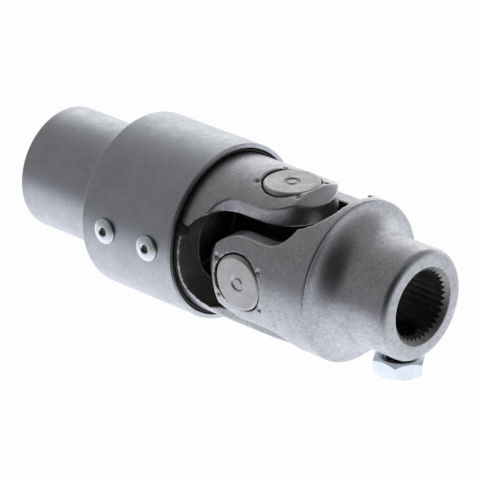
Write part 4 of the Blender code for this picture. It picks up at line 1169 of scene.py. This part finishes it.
class STEERING_OT_set_screw(bpy.types.Operator):
    """Make the set screw and its jam nut"""
    bl_idname = "steering_joint.set_screw"
    bl_label = "Set Screw and Nut"

    def execute(self, context):
        sizes = context.scene.steering_joint.fasteners
        down = Vector((0, 0, -1))
        seat = JOINT + SHAFT * sizes.screw_place
        zinc = bpy.data.materials["blue_zinc_plating"]
        corner = sizes.nut_half / math.cos(math.radians(30))
        top = sizes.nut_top + sizes.nut_thick
        shape = bmesh.new()
        middle = Matrix.Translation(seat + down * (sizes.nut_top + top) / 2)
        turn = down.to_track_quat("Z", "Y").to_matrix().to_4x4() @ Matrix.Rotation(sizes.nut_turn, 4, "Z")
        bmesh.ops.create_cone(shape, cap_ends=True, segments=6, radius1=corner, radius2=corner,
                              depth=sizes.nut_thick, matrix=middle @ turn)
        nut = keep("jam_nut_plated", shape, zinc)
        face = sizes.nut_half - sizes.nut_edge
        wide = corner + sizes.nut_edge
        fall = (wide - face) * math.tan(NUT_CORNER_ANGLE)
        carve(nut, turned("nut_corners", [
            (sizes.nut_top, 0, 0),
            (sizes.nut_top, face, 0.2 * MM),
            (sizes.nut_top + fall, wide, 0),
            (top - fall, wide, 0),
            (top, face, 0.2 * MM),
            (top, 0, 0),
        ], zinc, seat, down, 96, closed=False), "INTERSECT")
        hole = sizes.screw_hole
        chamfer = 0.5 * MM
        carve(nut, turned("nut_hole", [
            (sizes.nut_top - MM, 0, 0),
            (sizes.nut_top - MM, hole + chamfer + MM, 0),
            (sizes.nut_top + chamfer, hole, 0),
            (top - chamfer, hole, 0),
            (top + MM, hole + chamfer + MM, 0),
            (top + MM, 0, 0),
        ], zinc, seat, down, 64, closed=False))
        ride(nut, "hub_yoke", "jam_nut")

        tree, given, values = solid_tree("Set Screw", "set_screw", 0.5 * MM, sizes, Cell=SCREW_CELL)
        place = add(tree, "GeometryNodeInputPosition")
        local = add(tree, VECTOR, [place, tuple(seat)], "SUBTRACT")
        axes = add(tree, "ShaderNodeSeparateXYZ", [local]).outputs
        depth = add(tree, MATH, [axes[2], -1.0], "MULTIPLY")
        flat = add(tree, "ShaderNodeCombineXYZ", [axes[0], axes[1]])
        radius = add(tree, VECTOR, [flat], "LENGTH")
        angle = add(tree, MATH, [axes[1], axes[0]], operation="ARCTAN2")
        turns = add(tree, MATH, [depth, given["Screw Pitch"]], "DIVIDE")
        wound = add(tree, MATH, [angle, 0.5 / math.pi, turns], "MULTIPLY_ADD")
        phase = add(tree, MATH, [wound, 0.5], "PINGPONG")
        groove = add(tree, MATH, [phase, given["Thread Depth"]], "MULTIPLY")
        groove = add(tree, MATH, [groove, 2.0], "MULTIPLY")
        rod = add(tree, MATH, [radius, given["Screw Radius"]], "SUBTRACT")
        thread = add(tree, MATH, [rod, groove], "ADD")
        past_end = add(tree, MATH, [depth, given["Screw End"]], "SUBTRACT")
        short = add(tree, MATH, [given["Screw Start"], depth], "SUBTRACT")
        ends = add(tree, MATH, [past_end, short], "MAXIMUM")
        cone = add(tree, MATH, [rod, ends], "ADD")
        bevelled = add(tree, MATH, [cone, SCREW_TAPER], "ADD")
        tapered = add(tree, MATH, [bevelled, math.sqrt(0.5)], "MULTIPLY")
        body = add(tree, GROUP, [thread, ends, THREAD_EDGE], node_tree=meeting_group())
        body = add(tree, MATH, [body, tapered], "MAXIMUM")
        flats = None
        for turn_angle in (0, 60, 120):
            line = (math.cos(math.radians(turn_angle)), math.sin(math.radians(turn_angle)), 0.0)
            reach = add(tree, VECTOR, [local, line], "DOT_PRODUCT")
            reach = add(tree, MATH, [reach], "ABSOLUTE")
            flats = reach if flats is None else add(tree, MATH, [flats, reach], "MAXIMUM")
        hexagon = add(tree, MATH, [flats, given["Socket Half Flats"]], "SUBTRACT")
        socket_floor = add(tree, MATH, [past_end, given["Socket Depth"]], "ADD")
        above = add(tree, MATH, [socket_floor, -1.0], "MULTIPLY")
        socket = add(tree, MATH, [hexagon, above], "MAXIMUM")
        whole = cut_away(tree, body, socket, SOCKET_EDGE)
        skin = add(tree, GROUP, [whole, given["Low"], given["High"], given["Cell"]], node_tree=skin_group())
        end_tree(tree, skin, ("oxide_blacked_steel", None))
        ride(run_tree(tree, "set_screw_threaded", values), "hub_yoke", "set_screw")
        return {"FINISHED"}


class STEERING_OT_stage(bpy.types.Operator):
    """Set up the camera, the floor and the studio's light"""
    bl_idname = "steering_joint.stage"
    bl_label = "Stage"

    def execute(self, context):
        scene = context.scene
        stage = scene.steering_joint.stage
        scene.view_settings.view_transform = "Standard"
        camera_data = bpy.data.cameras.new("camera")
        camera_data.lens = stage.lens
        camera_data.sensor_width = 36.0
        camera_data.clip_start = 0.01
        camera = bpy.data.objects.new("camera", camera_data)
        camera.location = stage.camera_place
        camera.rotation_euler = stage.camera_turn
        scene.collection.objects.link(camera)
        scene.camera = camera

        world = bpy.data.worlds.new("studio")
        scene.world = world
        world.use_nodes = True
        tree = world.node_tree
        tree.nodes.clear()
        seen = add(tree, "ShaderNodeLightPath").outputs["Is Camera Ray"]
        heading = add(tree, "ShaderNodeTexCoord").outputs["Generated"]
        axes = add(tree, "ShaderNodeSeparateXYZ", [heading]).outputs
        behind = add(tree, "ShaderNodeMapRange", {"Value": axes["Y"], "From Min": BEHIND[0],
                                                  "From Max": BEHIND[1]},
                     interpolation_type="SMOOTHSTEP")
        # the white wall slopes down to the right, and the ceiling over it is dark
        slope = add(tree, MATH, [axes["X"], WALL_SLOPE, axes["Z"]], "MULTIPLY_ADD")
        wall = add(tree, "ShaderNodeMapRange", {"Value": slope, "From Min": WALL_TOP[0],
                                                "From Max": WALL_TOP[1],
                                                "To Min": 1.0, "To Max": stage.ceiling},
                   interpolation_type="SMOOTHSTEP")
        white_wall = add(tree, MATH, [behind, wall], "MULTIPLY")
        side = add(tree, "ShaderNodeMapRange", {"Value": white_wall, "To Min": stage.dim,
                                                "To Max": stage.back})
        # the dark camera and its stand
        camera_side = (camera.location - JOINT).normalized()
        near = add(tree, VECTOR, [heading, tuple(camera_side)], "DOT_PRODUCT")
        patch = add(tree, "ShaderNodeMapRange", {
            "Value": near, "From Min": PATCH[0], "From Max": PATCH[1], "To Min": 1.0, "To Max": stage.dark},
                    interpolation_type="SMOOTHSTEP")
        light = add(tree, MATH, [side, patch], "MULTIPLY")
        room = add(tree, "ShaderNodeBackground", {"Color": stage.white, "Strength": light})
        backdrop = add(tree, "ShaderNodeBackground", {"Color": stage.white, "Strength": 1.0})
        choice = add(tree, "ShaderNodeMixShader", [seen, room, backdrop])
        add(tree, "ShaderNodeOutputWorld", {"Surface": choice})

        paper = blank_material("white_paper")
        tree = paper.node_tree
        tree.nodes.clear()
        seen = add(tree, "ShaderNodeLightPath").outputs["Is Camera Ray"]
        place = add(tree, "ShaderNodeTexCoord").outputs["Object"]
        axes = add(tree, "ShaderNodeSeparateXYZ", [place]).outputs
        pool = add(tree, "ShaderNodeMapRange", {"Value": axes["Y"], "From Min": stage.pool_start,
                                                "From Max": stage.pool_end, "To Min": stage.dim,
                                                "To Max": stage.table})
        # the pool of light fades past the hub's end
        fade = add(tree, "ShaderNodeMapRange", {"Value": axes["X"], "From Min": HUB_FADE[0],
                                                "From Max": HUB_FADE[1],
                                                "To Min": 1.0, "To Max": stage.fade},
                   interpolation_type="SMOOTHSTEP")
        # the floor's glow is dimmed before the camera, a painted shade where the steel mirrors the floor
        across = add(tree, VECTOR, [place, FRONT_SHADE_WAY], "DOT_PRODUCT")
        cloth = add(tree, "ShaderNodeMapRange", {"Value": across, "From Min": FRONT_SHADE_REACH[0],
                                                 "From Max": FRONT_SHADE_REACH[1],
                                                 "To Min": 1.0, "To Max": stage.cloth},
                    interpolation_type="SMOOTHSTEP")
        fade = add(tree, MATH, [fade, cloth], "MULTIPLY")
        glow = add(tree, MATH, [pool, fade], "MULTIPLY")
        lit = add(tree, "ShaderNodeEmission", {"Color": stage.cool, "Strength": glow})
        plain = add(tree, "ShaderNodeEmission", {"Color": stage.white, "Strength": PAPER})
        shaded = add(tree, "ShaderNodeBsdfDiffuse", {"Color": PAPER_SHADE})
        shown = add(tree, "ShaderNodeAddShader", [plain, shaded])
        choice = add(tree, "ShaderNodeMixShader", [seen, lit, shown])
        add(tree, "ShaderNodeOutputMaterial", {"Surface": choice})
        shape = bmesh.new()
        bmesh.ops.create_grid(shape, x_segments=1, y_segments=1, size=FLOOR_HALF,
                              matrix=Matrix.Translation((JOINT.x, 0, stage.floor)))
        keep("floor", shape, paper)
        return {"FINISHED"}


class STEERING_PT_panel(bpy.types.Panel):
    """Lists the sizes, the finishes and the pieces"""
    bl_idname = "STEERING_PT_panel"
    bl_label = "Steering Joint"
    bl_space_type = "VIEW_3D"
    bl_region_type = "UI"
    bl_category = "Steering Joint"

    def draw(self, context):
        settings = context.scene.steering_joint
        for step in STEPS:
            self.layout.operator(step.bl_idname, text=step.bl_label)
        for key in SteeringJointSettings.__annotations__:
            box = self.layout.box()
            box.label(text=key.replace("_", " ").title())
            group = getattr(settings, key)
            for field in type(group).__annotations__:
                box.prop(group, field)


STEPS = (
    STEERING_OT_stage,
    STEERING_OT_finishes,
    STEERING_OT_reducer,
    STEERING_OT_reducer_yoke,
    STEERING_OT_hub_yoke,
    STEERING_OT_cross,
    STEERING_OT_bearings,
    STEERING_OT_rivets,
    STEERING_OT_set_screw,
)
GROUPS = (ForkSizes, ReducerSizes, HubSizes, BearingSizes, FastenerSizes, Finishes, StageSettings,
          SteeringJointSettings)


def register():
    """Register the classes and hang the settings on the scene."""
    for item in GROUPS + STEPS + (STEERING_PT_panel,):
        bpy.utils.register_class(item)
    bpy.types.Scene.steering_joint = PointerProperty(type=SteeringJointSettings)


def unregister():
    """Undo what register does."""
    del bpy.types.Scene.steering_joint
    for item in reversed(GROUPS + STEPS + (STEERING_PT_panel,)):
        bpy.utils.unregister_class(item)


def main():
    """Build every piece."""
    register()
    for step in STEPS:
        family, name = step.bl_idname.split(".")
        getattr(getattr(bpy.ops, family), name)()
    bpy.context.view_layer.update()


if __name__ == "__main__":
    main()
